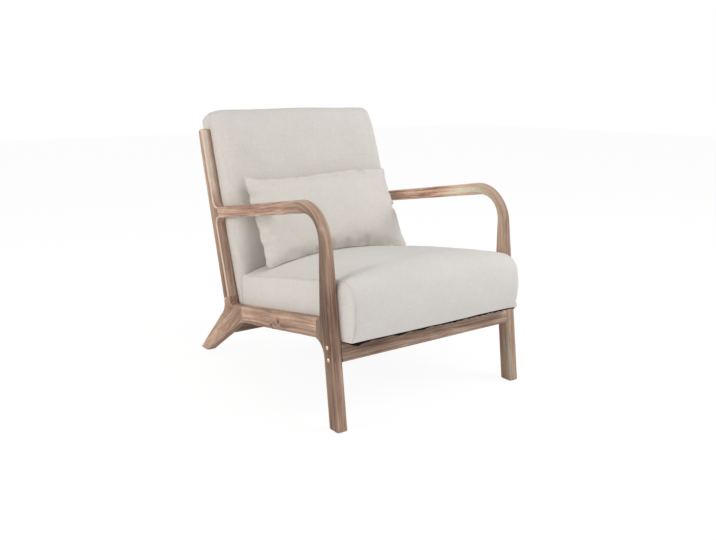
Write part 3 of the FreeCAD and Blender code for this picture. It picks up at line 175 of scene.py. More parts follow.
def srgb(red, green, blue):
    """A colour given in 0..255 display values, as linear values with alpha."""
    def linear(value):
        value /= 255.0
        return value / 12.92 if value <= 0.04045 else ((value + 0.055) / 1.055) ** 2.4
    return linear(red), linear(green), linear(blue), 1.0


def scaled(colour, factor, most=0.8):
    """A lighter or darker kind of a colour."""
    return tuple(min(c * factor, most) for c in colour[:3]) + (1.0,)


def new_material(name, roughness, specular, **fixed):
    material = bpy.data.materials.new(name)
    material.use_nodes = True
    net = Nodes(material.node_tree)
    shader = net.add("BsdfPrincipled")
    shader.inputs["Roughness"].default_value = roughness
    shader.inputs["Specular IOR Level"].default_value = specular
    for key, value in fixed.items():
        shader.inputs[key.replace("_", " ")].default_value = value
    net.add("OutputMaterial", {0: shader})
    return material, net, shader


# Linen: plain weave of uneven yarns, its UVs are in metres
WEAVE_PITCH = 0.0013
LINEN_FUZZ = srgb(190, 182, 172)
SEAM_SHADE = srgb(188, 174, 153)


def linen(name, light, dark, seed):
    material, net, shader = new_material(name, 0.88, 0.25, Sheen_Weight=0.12, Sheen_Roughness=0.45)
    plane = net.add("UVMap", uv_map="cloth").outputs[0]
    place = net.mapping(plane, location=(seed, seed * 0.7, seed))
    warp_slubs = net.noise(place, (760, 34, 1), 3.0, 0.6)
    weft_slubs = net.noise(place, (30, 680, 1), 3.0, 0.6)
    patches = net.noise(place, 9.0, 3.0, 0.55)
    fuzz = net.noise(place, 900.0)
    yarns = net.plus(net.times(warp_slubs, 0.42), net.times(weft_slubs, 0.42))
    tone = net.plus(yarns, net.times(patches, 0.22))
    middle = tuple((a + b) / 2 for a, b in zip(light, dark))
    colour = net.ramp(tone, [(0.38, dark), (0.5, middle), (0.64, light)])
    colour = net.mix(net.steps(fuzz, 0.55, 0.8, 0.0, 0.25), colour, LINEN_FUZZ)
    seam = net.add("Attribute", attribute_name="seam").outputs["Fac"]
    net.feed(shader.inputs["Base Color"], net.mix(net.times(seam, 0.75), colour, SEAM_SHADE))
    turns = math.pi / WEAVE_PITCH
    across = net.math("SINE", net.times(net.part(place, 0), turns))
    along = net.math("SINE", net.times(net.part(place, 1), turns))
    weave = net.plus(net.times(net.times(across, along), 0.35), net.times(yarns, 1.1))
    net.bump(shader, weave, 0.55, 0.0009)
    return material


# Directions and joint planes of the side frame. A joint is a point on its plane and the plane's normal.
PITCH_DIR = Vector((0.0, math.cos(SEAT_PITCH), -math.sin(SEAT_PITCH)))
ARM_UP = Vector((0.0, math.sin(SEAT_PITCH), math.cos(SEAT_PITCH)))
LEG_DOWN = Vector((0.0, -math.sin(LEG_LEAN), -math.cos(LEG_LEAN)))
LEG_IN = Vector((0.0, math.cos(LEG_LEAN), -math.sin(LEG_LEAN)))
POST_DIR = Vector((0.0, math.sin(BACK_LEAN), math.cos(BACK_LEAN)))
POST_UP = Vector((0.0, math.sin(POST_LEAN), math.cos(POST_LEAN)))
POST_NORMAL = Vector((0.0, math.cos(POST_LEAN), -math.sin(POST_LEAN)))
ARM_CORNER = Vector((0.0, LEG_FRONT_Y + ARM_HEIGHT * math.tan(LEG_LEAN), ARM_HEIGHT))
POST_FOOT = Vector((0.0, 0.196, 0.20249))
RAIL_JOINT = ((0.0, -0.303, 0.0), (0.0, 1.0, 0.0))
REAR_JOINT = (POST_FOOT - 0.080 * PITCH_DIR, PITCH_DIR)
POST_JOINT = (POST_FOOT + 0.024 * POST_UP, POST_DIR)
ARM_POST_JOINT = (POST_FOOT - 0.025 * POST_NORMAL, POST_NORMAL)

# The grain's run in arm, elbow and leg: start, way along, way in and length run before
ELBOW_RADIUS = 0.120
ELBOW_MID = 0.105
ARM_END = ARM_CORNER + 0.124 * PITCH_DIR
LEG_TOP = ARM_CORNER + 0.123 * LEG_DOWN
BEND_CENTRE = ARM_END - ELBOW_RADIUS * ARM_UP
ARM_RUN = (ARM_END, -PITCH_DIR, -ARM_UP, 0.0)
LEG_RUN = (LEG_TOP, LEG_DOWN, LEG_IN, ARM_UP.angle(-LEG_IN) * ELBOW_MID)

# Whitewashed wood with brushed grain, and painted light and shade on some of its faces and edges
WOOD_TONES = (srgb(108, 81, 67), srgb(145, 116, 100), srgb(168, 139, 121), srgb(199, 172, 153))
TONE_PLACES = (0.34, 0.435, 0.52, 0.625)
# Pale colour of the whitewash, also used for painted light and painted highlights
WHITEWASH_AND_PAINTED_LIGHT = srgb(232, 211, 195)
GAP_DARK = srgb(74, 55, 44)
# Painted shade on a post's edge next to the cushion
CUSHION_GAP_PAINTED_SHADE = (0.36, 0.32, 0.29, 1.0)


def grain_space(net, place, lean, run, centre):
    """The wood's own coordinates, Z along the grain: straight, or round the elbow's centre."""
    across = net.part(place, 0)
    if centre is not None:
        forward = net.along(place, centre, -PITCH_DIR)
        upward = net.along(place, centre, ARM_UP)
        reach = net.math("SQRT", net.plus(net.times(forward, forward), net.times(upward, upward)))
        turned = net.times(net.math("ARCTAN2", forward, upward), ELBOW_MID)
        return net.vector(across, net.minus(ELBOW_RADIUS, reach), turned)
    if run is not None:
        origin, way, way_in, before = run
        far = net.plus(net.along(place, origin, way), before)
        return net.vector(across, net.along(place, origin, way_in), far)
    return net.mapping(place, rotation=(0, -math.pi / 2, 0) if lean is None else (lean, 0, 0))


def wood(name, lean=None, run=None, centre=None, seed=0.0, shade=1.0, wash=0.4, front=0.0, outer=1.0,
         fade=1.0, cover=(0.42, 0.66), even=1.0, inner=False, knots=(), joints=(), patches=()):
    """lean: how far a straight member leans back from upright, run or centre: where its grain runs.

    wash and cover spread whitewash on the rounded edges, which also paints a highlight there, front paints
    light on the front faces, inner paints shade on a post's edge by the cushion, outer paints shade on
    sideways faces below 1 and light above 1, shade and fade set how light the wood is."""
    material, net, shader = new_material(name, 0.62, 0.3)
    place = net.object_place()
    across = net.size(net.part(place, 0))
    height = net.part(place, 2)
    unshifted = grain_space(net, place, lean, run, centre)
    grain = net.mapping(unshifted, location=(seed, seed * 1.7, seed * 0.6))
    knots = [(net.vectors("DISTANCE", place, point, "Value"), size) for point, size in knots]
    bend = net.noise(grain, (5, 5, 1.6))
    for offset, size in knots:
        bend = net.plus(bend, net.times(net.steps(offset, 0.0, size * 3.5, 1.0, 0.0), 0.25))
    spread = net.times(bend, 0.045)
    warped = net.vectors("ADD", grain, net.vector(spread, spread, 0.0))
    rings = net.noise(warped, (120, 120, 2.6), 3.0, 0.6)
    streaks = net.noise(warped, (330, 330, 7), 4.0, 0.62)
    pores = net.noise(warped, (1300, 1300, 34), 2.0, 0.6)
    broad = net.noise(grain, (14, 14, 4))
    figure = net.plus(net.times(rings, 0.55), net.times(streaks, 0.45))
    figure = net.plus(figure, net.times(net.minus(broad, 0.5), 0.5))
    figure = net.plus(net.times(figure, even), 0.5 * (1 - even))
    tones = [scaled(tone, shade) for tone in WOOD_TONES]
    colour = net.ramp(figure, list(zip(TONE_PLACES, tones)))
    colour = net.mix(net.steps(pores, 0.54, 0.70, 0.0, 0.55), colour, tones[0])
    waves = net.noise(warped, (120, 120, 1.9), 4.0, 0.6)
    vein = net.size(net.minus(waves, 0.5))
    broken = net.steps(net.noise(grain, (40, 40, 12)), 0.40, 0.58)
    colour = net.mix(net.times(net.steps(vein, 0.0, 0.016, 0.7, 0.0), broken), colour, scaled(tones[0], 0.55))

    # Whitewash lies in some of the grain and on the rounded edges, where it also paints a highlight, and
    # painted light lies on the front faces
    normal = net.add("NewGeometry").outputs["Normal"]
    facing = net.part(normal, 0)
    sideways = net.size(facing)
    if lean is None and run is None and centre is None:
        facing = net.part(net.mapping(normal, rotation=(SEAT_PITCH, 0, 0)), 1)
    square = net.times(facing, facing)
    edge = net.times(net.times(square, net.minus(1.0, square)), 4.0)
    worn = net.noise(grain, (70, 70, 14), 4.0, 0.65)
    # Rounded edges: worn whitewash, and a painted highlight
    edge_wash = net.times(net.steps(edge, 0.25, 0.95), net.steps(worn, *cover, 0.05, 1.0))
    whitening_and_painted_light = net.larger(net.times(edge_wash, wash), net.steps(streaks, 0.57, 0.74, 0.0, 0.36))
    if front > 0.0:
        front_wash = net.times(net.steps(net.times(net.part(normal, 1), -1.0), 0.35, 0.8, 0.0, front),
                               net.steps(worn, 0.3, 0.6, 0.45, 1.0))
        # On a post the painted front light keeps off the edge by the cushion and fades below the arm: painted
        # shade of cushion and arm
        if inner:
            front_wash = net.times(front_wash, net.times(net.steps(across, 0.296, 0.314),
                                                         net.steps(height, 0.46, 0.60, 0.14, 1.0)))
        whitening_and_painted_light = net.larger(whitening_and_painted_light, front_wash)
    # Pale spots: a painted highlight on the left elbow, worn patches on the left foot
    for point, size in patches:
        offset = net.vectors("DISTANCE", place, point, "Value")
        bright = net.times(net.steps(offset, size * 0.4, size, 0.9, 0.0), net.steps(worn, 0.40, 0.55))
        whitening_and_painted_light = net.larger(whitening_and_painted_light, bright)
    colour = net.mix(whitening_and_painted_light, colour, WHITEWASH_AND_PAINTED_LIGHT)

    # Arm, elbow and leg darken on their way down, and sideways faces get painted shade where outer is below
    # 1, painted light where it is above 1
    outside = net.steps(sideways, 0.55, 0.95)
    if fade < 1.0:
        way_down = net.steps(net.part(unshifted, 2), -0.09, 0.12)
        colour = net.mix(way_down, colour, (fade, fade * 0.985, fade * 0.97, 1.0), "MULTIPLY")
        outside = net.times(outside, net.times(way_down, net.steps(height, 0.05, 0.34, 0.25, 1.0)))
    if outer != 1.0:
        colour = net.mix(outside, colour, (outer, outer, outer, 1.0), "MULTIPLY")
    # Painted shade in the gap between a post and the cushion
    if inner:
        colour = net.mix(net.steps(across, 0.2895, 0.3010, 0.95, 0.0), colour, CUSHION_GAP_PAINTED_SHADE, "MULTIPLY")
    for offset, size in knots:
        wobble = net.plus(offset, net.times(net.minus(streaks, 0.5), size * 0.9))
        colour = net.mix(net.steps(wobble, size * 0.5, size * 1.5, 1.0, 0.0), colour, GAP_DARK)
    for point, direction in joints:
        gap = net.size(net.along(place, point, direction))
        colour = net.mix(net.steps(gap, 0.0003, 0.0010, 0.3, 0.0), colour, GAP_DARK)
    net.feed(shader.inputs["Base Color"], colour)
    net.feed(shader.inputs["Roughness"], net.steps(streaks, 0.3, 0.7, 0.52, 0.74))
    net.bump(shader, net.plus(net.times(streaks, 0.7), net.times(pores, 0.45)), 0.45, 0.0012)
    return material


def give(material, *names):
    """Puts one material on CAD nodes."""
    for name in names:
        nodes[name].data.materials.clear()
        nodes[name].data.materials.append(material)


# Marks that the left side has, their place and size: a painted highlight on the elbow, pale worn patches on
# the foot, knots in the rail
PAINTED_ELBOW_HIGHLIGHTS = (((-0.320, -0.334, 0.521), 0.018), ((-0.318, -0.318, 0.538), 0.010))
PALE_FOOT = (((-0.325, -0.412, 0.060), 0.024), ((-0.325, -0.420, 0.022), 0.014))
RAIL_KNOTS = (((-0.325, -0.107, 0.2233), 0.0055), ((-0.325, -0.0666, 0.2043), 0.0036))
RAIL_LEAN = math.pi / 2 + SEAT_PITCH
REAR_LEG_LEAN = math.radians(-52.0)


def dress_side(side, shift, post, arm, fade, outer, rail, rear_leg, elbow_painted_highlights=(), foot_marks=(), knots=()):
    """post, arm, rail and rear_leg say how light the members are, outer paints shade (below 1) and light
    (above 1) on sideways faces.
    """
    arm_look = {"seed": 1.3 + shift, "shade": arm, "fade": fade, "outer": outer, "even": 0.9}

    def dress(node, material, **look):
        give(wood("%s_%s_wood" % (side, material), **look), "%s_%s" % (side, node))

    # The posts get painted front light and painted shade by the cushion (inner)
    dress("rear_post", "post", lean=BACK_LEAN, seed=0.2 + shift, shade=post, wash=1.0, front=1.35,
          outer=0.80, cover=(0.20, 0.45), even=0.8, inner=True, joints=(POST_JOINT, ARM_POST_JOINT))
    dress("armrest", "arm", run=ARM_RUN, wash=0.5, joints=(ARM_POST_JOINT,), **arm_look)
    dress("arm_elbow", "elbow", centre=BEND_CENTRE, wash=0.18, patches=elbow_painted_highlights, **arm_look)
    dress("front_leg", "leg", run=LEG_RUN, wash=0.3, joints=(RAIL_JOINT,), patches=foot_marks, **arm_look)
    dress("side_rail", "rail", lean=RAIL_LEAN, seed=4.2 + shift, shade=rail, even=0.75,
          knots=knots, joints=(RAIL_JOINT, REAR_JOINT))
    dress("rear_leg", "rear_leg", lean=REAR_LEG_LEAN, seed=5.6 + shift, shade=rear_leg, wash=0.35,
          even=0.75, joints=(REAR_JOINT, POST_JOINT))


# The left members get painted shade on their sideways faces, the right ones painted light
dress_side("left", shift=0.0, post=1.36, arm=1.34, fade=0.69, outer=0.58, rail=1.22, rear_leg=1.25,
           elbow_painted_highlights=PAINTED_ELBOW_HIGHLIGHTS, foot_marks=PALE_FOOT, knots=RAIL_KNOTS)
dress_side("right", shift=0.37, post=1.3, arm=2.0, fade=0.53, outer=1.3, rail=1.15, rear_leg=1.15)
give(wood("front_rail_wood", seed=6.3, shade=0.90, wash=0.2), "front_rail")
give(wood("rear_rail_wood", seed=7.9, wash=0.3), "rear_rail")


def two_tones(net, shader, factor, low, high, colour, share):
    """Colours the shader from a darker kind of colour at low to the colour itself at high."""
    net.feed(shader.inputs["Base Color"], net.ramp(factor, [(low, scaled(colour, share)), (high, colour)]))


def plain_wood(name, colour, seed):
    """Unfinished inner wood."""
    material, net, shader = new_material(name, 0.75, 0.2)
    place = net.mapping(net.object_place(), location=(seed, seed, seed))
    streaks = net.noise(place, (14, 160, 160), 3.0, 0.55)
    two_tones(net, shader, streaks, 0.35, 0.65, colour, 0.72)
    net.bump(shader, streaks, 0.3, 0.0006)
    return material


def woven(name, colour, pitch, roughness=0.85):
    """A coarse woven band or nonwoven cloth."""
    material, net, shader = new_material(name, roughness, 0.2)
    place = net.object_place()
    across, along = (net.math("SINE", net.times(net.part(place, axis), math.pi / pitch)) for axis in (0, 1))
    fibres = net.noise(place, 500.0, 3.0, 0.6)
    two_tones(net, shader, fibres, 0.3, 0.7, colour, 0.6)
    net.bump(shader, net.plus(net.times(net.times(across, along), 0.4), fibres), 0.4, 0.0006)
    return material


def metal(name, colour, roughness):
    """Brushed metal with small stains."""
    material, net, shader = new_material(name, roughness, 0.5, Metallic=1.0)
    place = net.object_place()
    two_tones(net, shader, net.noise(place, 260.0, 3.0, 0.6), 0.3, 0.55, colour, 0.62)
    brushed = net.noise(place, (300, 2500, 2500))
    net.feed(shader.inputs["Roughness"], net.steps(brushed, 0.3, 0.7, roughness - 0.08, roughness + 0.1))
    return material


def dark_plastic(name):
    material, net, shader = new_material(name, 0.5, 0.4)
    grain = net.noise(net.object_place(), 700.0)
    net.feed(shader.inputs["Base Color"], net.ramp(grain, [(0.3, srgb(34, 31, 29)), (0.7, srgb(52, 48, 45))]))
    return material


give(plain_wood("dowel_wood", srgb(214, 190, 152), 0.4),
     "left_frame_dowels", "right_frame_dowels", "rear_rail_dowels")
give(plain_wood("board_wood", srgb(206, 182, 146), 1.1), *(
    name for name in nodes
    if name.startswith(("seat_frame_", "back_frame_", "seat_corner")) and not name.endswith("screws")))
give(woven("webbing_band", srgb(62, 58, 55), 0.002),
     "seat_webbing_lengthwise", "seat_webbing_crosswise", "back_webbing")
give(metal("copper_bolt", srgb(244, 208, 188), 0.5), "front_rail_bolts")
give(metal("zinc_plated_steel", srgb(190, 190, 192), 0.35),
     "front_rail_barrel_nuts", "seat_frame_screws", "back_frame_screws")
give(dark_plastic("glide_plastic"), "foot_glides")
BLACK_CLOTH = woven("black_cloth", srgb(17, 15, 14), 0.0012, 0.95)
SEAT_LINEN = linen("seat_linen", srgb(222, 219, 215), srgb(207, 203, 198), 0.0)
BACK_LINEN = linen("back_linen", srgb(220, 215, 211), srgb(204, 199, 194), 3.3)
PILLOW_LINEN = linen("pillow_linen", srgb(222, 218, 213), srgb(208, 204, 197), 7.1)


# Curves of the upholstery in its side view
def arc_points(first, crest, last, count):
    """Points on the arc through three plane points."""
    a, b, c = (np.array(p, float) for p in (first, crest, last))
    d_ab = b - a
    d_bc = c - b
    matrix = np.array([d_ab, d_bc])
    if abs(np.linalg.det(matrix)) < 1e-12:
        return np.linspace(a, c, count + 1)
    centre = np.linalg.solve(matrix, [d_ab @ (a + b) / 2, d_bc @ (b + c) / 2])
    start, via, end = (math.atan2(*(p - centre)[::-1]) for p in (a, b, c))
    turn_via = (via - start) % (2 * math.pi)
    turn_end = (end - start) % (2 * math.pi)
    if turn_via > turn_end:
        turn_end -= 2 * math.pi
    angles = start + np.linspace(0, turn_end, count + 1)
    reach = np.linalg.norm(a - centre)
    return centre + reach * np.stack([np.cos(angles), np.sin(angles)], 1)


def bowed(start, end, bow, count):
    """Points from start to end that swell to the left of the way."""
    run = np.array(end) - np.array(start)
    length = np.linalg.norm(run)
    crest = (np.array(start) + np.array(end)) / 2 + np.array([-run[1], run[0]]) / length * bow
    return arc_points(start, crest, end, count)


def joined(*runs):
    """One polyline from runs that touch end to end."""
    return np.concatenate([runs[0]] + [run[1:] for run in runs[1:]])


def resampled(points, shares):
    """Points at given shares of a polyline's length."""
    lengths = np.append(0, np.cumsum(np.linalg.norm(np.diff(points, axis=0), axis=1)))
    wanted = np.array(shares) * lengths[-1]
    return np.stack([np.interp(wanted, lengths, points[:, axis]) for axis in range(2)], 1)


def eased(count):
    """Shares from 0 to 1 that are closer together at both ends."""
    t = np.linspace(0, 1, count + 1)
    return 0.25 * t + 0.75 * (1 - np.cos(math.pi * t)) / 2


def smooth_step(values, low, high):
    share = np.clip((values - low) / (high - low), 0, 1)
    return share * share * (3 - 2 * share)


class Side:
    """A side view: points in it are (depth, rise) from an origin in the chair's (y, z)."""

    def __init__(self, origin, lean, sign):
        self.origin = origin
        self.ways = (sign * math.cos(lean), -sign * math.sin(lean)), (math.sin(lean), math.cos(lean))

    def place(self, x, depth, rise):
        ahead, up = self.ways
        return (x, *(self.origin[i] + depth * ahead[i] + rise * up[i] for i in (0, 1)))

    def measured(self, points):
        """Depths and rises of points in the chair."""
        return [sum((points[:, i + 1] - self.origin[i]) * way[i] for i in (0, 1)) for way in self.ways]


# The seat's depth runs to its rear, the back's depth forward from the rear posts' back line
SEAT = Side(SEAT_ORIGIN, SEAT_PITCH, 1)
BACK = Side(BACK_ORIGIN, BACK_LEAN, -1)


def seat_rear_point(rise):
    """Depth and rise of the seat's upright rear face."""
    return (SEAT_REAR_Y - SEAT_ORIGIN[0] - rise * math.sin(SEAT_PITCH)) / math.cos(SEAT_PITCH), rise


def back_foot_point(depth):
    """Depth and rise of the back cushion's underside, which stands on the seat box."""
    _, seat_y, seat_z = SEAT.place(0, 0, BOX_TOP)
    _, y0, z0 = BACK.place(0, depth, 0)
    slope = -math.tan(SEAT_PITCH)
    rise = (seat_z + slope * (y0 - seat_y) - z0) / (math.cos(BACK_LEAN) - slope * math.sin(BACK_LEAN))
    return depth, rise


FINE = 24
ROUND_CUT = 1.0 - math.sqrt(0.5)
SEAT_CROWN = 0.042
SEAT_SIDE_TOP = 0.151
SHOULDER_RISE = 0.109
SEAT_REAR_ROUND = 0.014


def seat_sides(x, inset):
    """Front, top, rear and bottom of the seat's outline at x, as (depth, rise)."""
    share = min(abs(x) / HALF_WIDTH, 1.0)
    swell = max(0.0, 1.0 - share ** 2)
    crown = SEAT_CROWN * swell ** 0.78
    nose = 0.0235 + 0.012 * swell
    top = SEAT_SIDE_TOP - inset + crown
    front_low = (inset, 0.0)
    shoulder = (inset - nose, SHOULDER_RISE + crown * 0.3)
    roof_front = (inset - nose + 0.042 + crown * 0.9, top - crown * 0.12)
    rear_x, rear_rise = seat_rear_point(top - crown * 0.04 + 0.0055 * x / HALF_WIDTH)
    rear_low = seat_rear_point(0.0)
    corner_bow = math.dist(shoulder, roof_front) * 0.2
    front = joined(bowed(front_low, shoulder, 0.0075, FINE), bowed(shoulder, roof_front, corner_bow, FINE))
    turn = SEAT_REAR_ROUND
    cut = turn * ROUND_CUT
    roof_end = (rear_x - turn, rear_rise)
    rear_top = seat_rear_point(rear_rise - turn)
    roof = bowed(roof_front, roof_end, 0.001 + crown * 0.12, 2 * FINE)
    rear = joined(np.linspace(rear_low, rear_top, FINE),
                  arc_points(rear_top, (rear_x - cut, rear_rise - cut), roof_end, FINE))
    bottom = np.linspace(front_low, rear_low, FINE)
    return front, roof, rear, bottom


BACK_TOP = 0.798
HEAD_DEPTH = 0.086
BELLY_DEPTH = 0.109
BELLY_RISE = 0.480
FOOT_DEPTH = 0.057
REAR_FOOT = -0.020
REAR_TOP = -0.028
REAR_TURN = 0.012
CORNER_RUN = 0.030
CORNER_DROP = 0.0115
ROOF_HOLLOW = 0.0035


def back_sides(x, inset):
    """Front, top, rear and bottom of the back cushion's outline at x, as (depth, rise)."""
    over = min(max(0.0, (abs(x) - (HALF_WIDTH - CORNER_RUN)) / CORNER_RUN), 1.0)
    drop = CORNER_DROP * (1.0 - math.sqrt(1.0 - over * over))
    swell = max(0.0, 1.0 - (abs(x) / HALF_WIDTH) ** 2)
    top = BACK_TOP - drop + swell * 0.003
    head = HEAD_DEPTH - inset
    belly = BELLY_DEPTH + 0.010 * swell - inset
    turn = 0.030 + 0.012 * swell ** 0.5
    cut = turn * ROUND_CUT
    rear_cut = REAR_TURN * ROUND_CUT
    front_foot = back_foot_point(max(FOOT_DEPTH - inset, 0.004))
    rear_foot = back_foot_point(REAR_FOOT)
    front_top = (head, top - turn)
    roof_front = (head - turn, top)
    roof_rear = (REAR_TOP + REAR_TURN, top)
    rear_top = (REAR_TOP, top - REAR_TURN)
    front = joined(arc_points(front_foot, (belly, BELLY_RISE), front_top, 2 * FINE),
                   arc_points(front_top, (head - cut, top - cut), roof_front, FINE))
    roof = bowed(roof_front, roof_rear, -ROOF_HOLLOW, FINE)
    behind = joined(np.linspace(rear_foot, rear_top, FINE),
                    arc_points(rear_top, (REAR_TOP + rear_cut, top - rear_cut), roof_rear, FINE))
    bottom = np.linspace(front_foot, rear_foot, FINE)
    return front, roof, behind, bottom


def cells(columns, rows, flipped=False):
    """The four corners of each cell of a grid, one column of cells after the other."""
    for i in range(columns):
        for j in range(rows):
            corners = [(i, j), (i + 1, j), (i + 1, j + 1), (i, j + 1)]
            yield corners[::-1] if flipped else corners


def mesh_object(name, vertices, faces, uvs=None, seam=None, material=None):
    """A smooth mesh object. uvs: one (u, v) per face corner, seam: its weight at each vertex."""
    mesh = bpy.data.meshes.new(name)
    mesh.from_pydata([tuple(v) for v in vertices], [], [tuple(int(i) for i in f) for f in faces])
    if uvs is not None:
        layer = mesh.uv_layers.new(name="cloth")
        layer.data.foreach_set("uv", np.asarray(uvs, np.float32).ravel())
    if seam is not None:
        mesh.attributes.new("seam", "FLOAT", "POINT").data.foreach_set("value", np.asarray(seam, np.float32))
    mesh.validate()
    mesh.update()
    mesh.polygons.foreach_set("use_smooth", [True] * len(mesh.polygons))
    if material is not None:
        mesh.materials.append(material)
    obj = bpy.data.objects.new(name, mesh)
    scene.collection.objects.link(obj)
    return obj


def edge_round(angle, radius):
    """Run towards the side and draw-in of a rounded edge, at angle of its turn."""
    return radius * math.sin(angle), radius * 0.8 * (1 - math.cos(angle))


def dense(points, step=0.0008):
    """A closed polyline's points at about step apart."""
    result = []
    for a, b in zip(points, points[1:] + points[:1]):
        a, b = Vector(a), Vector(b)
        count = max(1, int((b - a).length / step))
        result += [a.lerp(b, i / count) for i in range(count)]
    return result


def loop_at(sides, x, inset, tall, long):
    """The outline's points at x, once round."""
    front, roof, rear, bottom = sides(x, inset)
    return np.concatenate([resampled(front, tall)[:-1], resampled(roof, long)[:-1],
                           resampled(rear[::-1], tall)[:-1], resampled(bottom[::-1], long)[:-1]])


def distance_in(patch, loop, extra):
    """How far each point of the side lies inside its outline, extra further from its square edges."""
    flat = patch.reshape(-1, 2)
    best = np.full(len(flat), 1e9)
    for a, b, more in zip(loop, np.roll(loop, -1, axis=0), extra):
        run = b - a
        t = np.clip(((flat - a) @ run) / max(run @ run, 1e-12), 0, 1)
        best = np.minimum(best, np.linalg.norm(flat - (a + t[:, None] * run), axis=1) + more)
    return best.reshape(patch.shape[:2])


COLUMNS = 72
TURN_STEPS = 6


def boxed(sides, place, radius, counts, seam_angle):
    """A boxed cushion: one panel that wraps front, top, rear and bottom, and two side panels.

    sides(x, inset) gives the outline, place(x, depth, rise) puts a point in the chair.
    Returns its points, faces, the faces' cloth coordinates and the seams' points."""
    rows_tall, rows_long = counts
    tall = eased(rows_tall)
    long = eased(rows_long)
    _, seam_inset = edge_round(seam_angle, radius)
    flat_half = HALF_WIDTH - radius
    spacing = np.sin(np.linspace(-0.5, 0.5, COLUMNS + 1) * math.pi * 0.82)
    flat = [(x, 0.0) for x in flat_half * spacing / math.sin(0.41 * math.pi)]
    soft = np.concatenate([
        np.clip(tall[:-1] / 0.10, 0, 1), np.clip((1 - long[:-1]) / 0.06, 0, 1),
        np.zeros(rows_tall), np.zeros(rows_long)])
    soft = smooth_step(soft, 0, 1)
    turn = []
    for angle in np.linspace(0, seam_angle, TURN_STEPS + 1)[1:]:
        run, inset = edge_round(angle, radius)
        turn.append((flat_half + run, inset))
    stations = [(-x, inset) for x, inset in reversed(turn)] + flat + turn
    last = len(stations) - 1
    vertices = []
    plane = []
    for number, (x, inset) in enumerate(stations):
        loop = loop_at(sides, x, inset, tall, long)
        square_x = x
        if inset > 0:
            square_loop = loop_at(sides, x, 0.0, tall, long)
            loop = square_loop + (loop - square_loop) * soft[:, None]
            share = (TURN_STEPS - min(number, last - number)) / TURN_STEPS
            square_x = math.copysign(flat_half + radius * share, x)
        vertices += [place(square_x + (x - square_x) * part, *point) for point, part in zip(loop, soft)]
        plane.append(loop)
    size = 2 * (rows_tall + rows_long)
    middle = plane[len(plane) // 2]
    girth = np.append(0, np.cumsum(np.linalg.norm(np.roll(middle, -1, axis=0) - middle, axis=1)))
    faces = []
    uvs = []
    for (a, row), (b, _), _, (_, following) in cells(last, size):
        over = following % size
        faces.append((a * size + row, b * size + row, b * size + over, a * size + over))
        u0, u1 = stations[a][0], stations[b][0]
        v0, v1 = girth[row], girth[row + 1]
        uvs += [(u0, v0), (u1, v0), (u1, v1), (u0, v1)]
    seam_points = []
    corner_rear = rows_tall + rows_long
    for end, column in ((-1, 0), (1, last)):
        base = column * size
        loop = plane[column]
        front = loop[:rows_tall + 1]
        roof = loop[rows_tall:corner_rear + 1]
        rear = loop[corner_rear:corner_rear + rows_tall + 1][::-1]
        bottom = np.concatenate([loop[corner_rear + rows_tall:], loop[:1]])[::-1]
        index = -np.ones((rows_tall + 1, rows_long + 1), int)
        index[:, 0] = base + np.arange(rows_tall + 1)
        index[-1, :] = base + rows_tall + np.arange(rows_long + 1)
        index[:, -1] = base + corner_rear + np.arange(rows_tall, -1, -1)
        index[0, 1:] = base + (size - np.arange(1, rows_long + 1))
        s = tall[:, None, None]
        t = long[None, :, None]
        patch = ((1 - t) * front[:, None] + t * rear[:, None] + (1 - s) * bottom[None] + s * roof[None]
                 - (1 - s) * (1 - t) * front[0] - (1 - s) * t * rear[0]
                 - s * (1 - t) * front[-1] - s * t * rear[-1])
        depth_in = distance_in(patch, loop, (1 - soft) * radius)
        for i in range(1, rows_tall):
            for j in range(1, rows_long):
                inward = min(seam_inset + depth_in[i, j], radius * 0.8)
                angle = math.acos(max(-1.0, 1 - inward / (radius * 0.8)))
                index[i, j] = len(vertices)
                vertices.append(place(end * (flat_half + radius * math.sin(angle)), *patch[i, j]))
        for quad in cells(rows_tall, rows_long, end > 0):
            faces.append([index[q] for q in quad])
            uvs += [(patch[q][0] + end * 2.0, patch[q][1]) for q in quad]
        seam_points += dense(vertices[base:base + size])
    return np.array(vertices), faces, uvs, seam_points


def tree_of(points):
    tree = KDTree(len(points))
    for index, point in enumerate(points):
        tree.insert(point, index)
    tree.balance()
    return tree


def vertex_normals(vertices, faces):
    """Area-weighted vertex normals of a quad mesh."""
    quads = np.array(faces)
    points = vertices[quads]
    face_normals = np.cross(points[:, 2] - points[:, 0], points[:, 3] - points[:, 1])
    normals = np.zeros_like(vertices)
    for corner in range(4):
        np.add.at(normals, quads[:, corner], face_normals)
    return normals / np.maximum(np.linalg.norm(normals, axis=1, keepdims=True), 1e-12)


def sew(vertices, faces, seam_points, depth, width, swell, seed):
    """Draws the cloth in along its seams, with puckers. Returns new vertices and the seam's weight."""
    normals = vertex_normals(vertices, faces)
    tree = tree_of(seam_points)
    moved = vertices.copy()
    weight = np.zeros(len(vertices))
    for index, vertex in enumerate(vertices):
        point, _, distance = tree.find(vertex)
        if distance > width * 8:
            continue
        wobble = 0.5 * noise.noise(Vector(point) * 95.0 + Vector((seed, 0, 0)))
        groove = math.exp(-(distance / width) ** 2)
        lip = math.exp(-((distance - width * 2.6) / (width * 1.8)) ** 2)
        moved[index] += normals[index] * (swell * lip * (1 + 1.6 * wobble) - depth * groove * (1 + wobble))
        weight[index] = math.exp(-(distance / (width * 0.55)) ** 2)
    return moved, weight


def ruffle(vertices, faces, layers, seed, mask=None):
    """Soft unevenness: layers of (size in metres, height in metres)."""
    normals = vertex_normals(vertices, faces)
    offset = Vector((seed * 3.1, seed * 1.7, seed * 0.9))
    moved = vertices.copy()
    for index, vertex in enumerate(vertices):
        height = sum(tall * noise.noise(Vector(vertex) / wide + offset) for wide, tall in layers)
        moved[index] += normals[index] * height * (1.0 if mask is None else mask[index])
    return moved


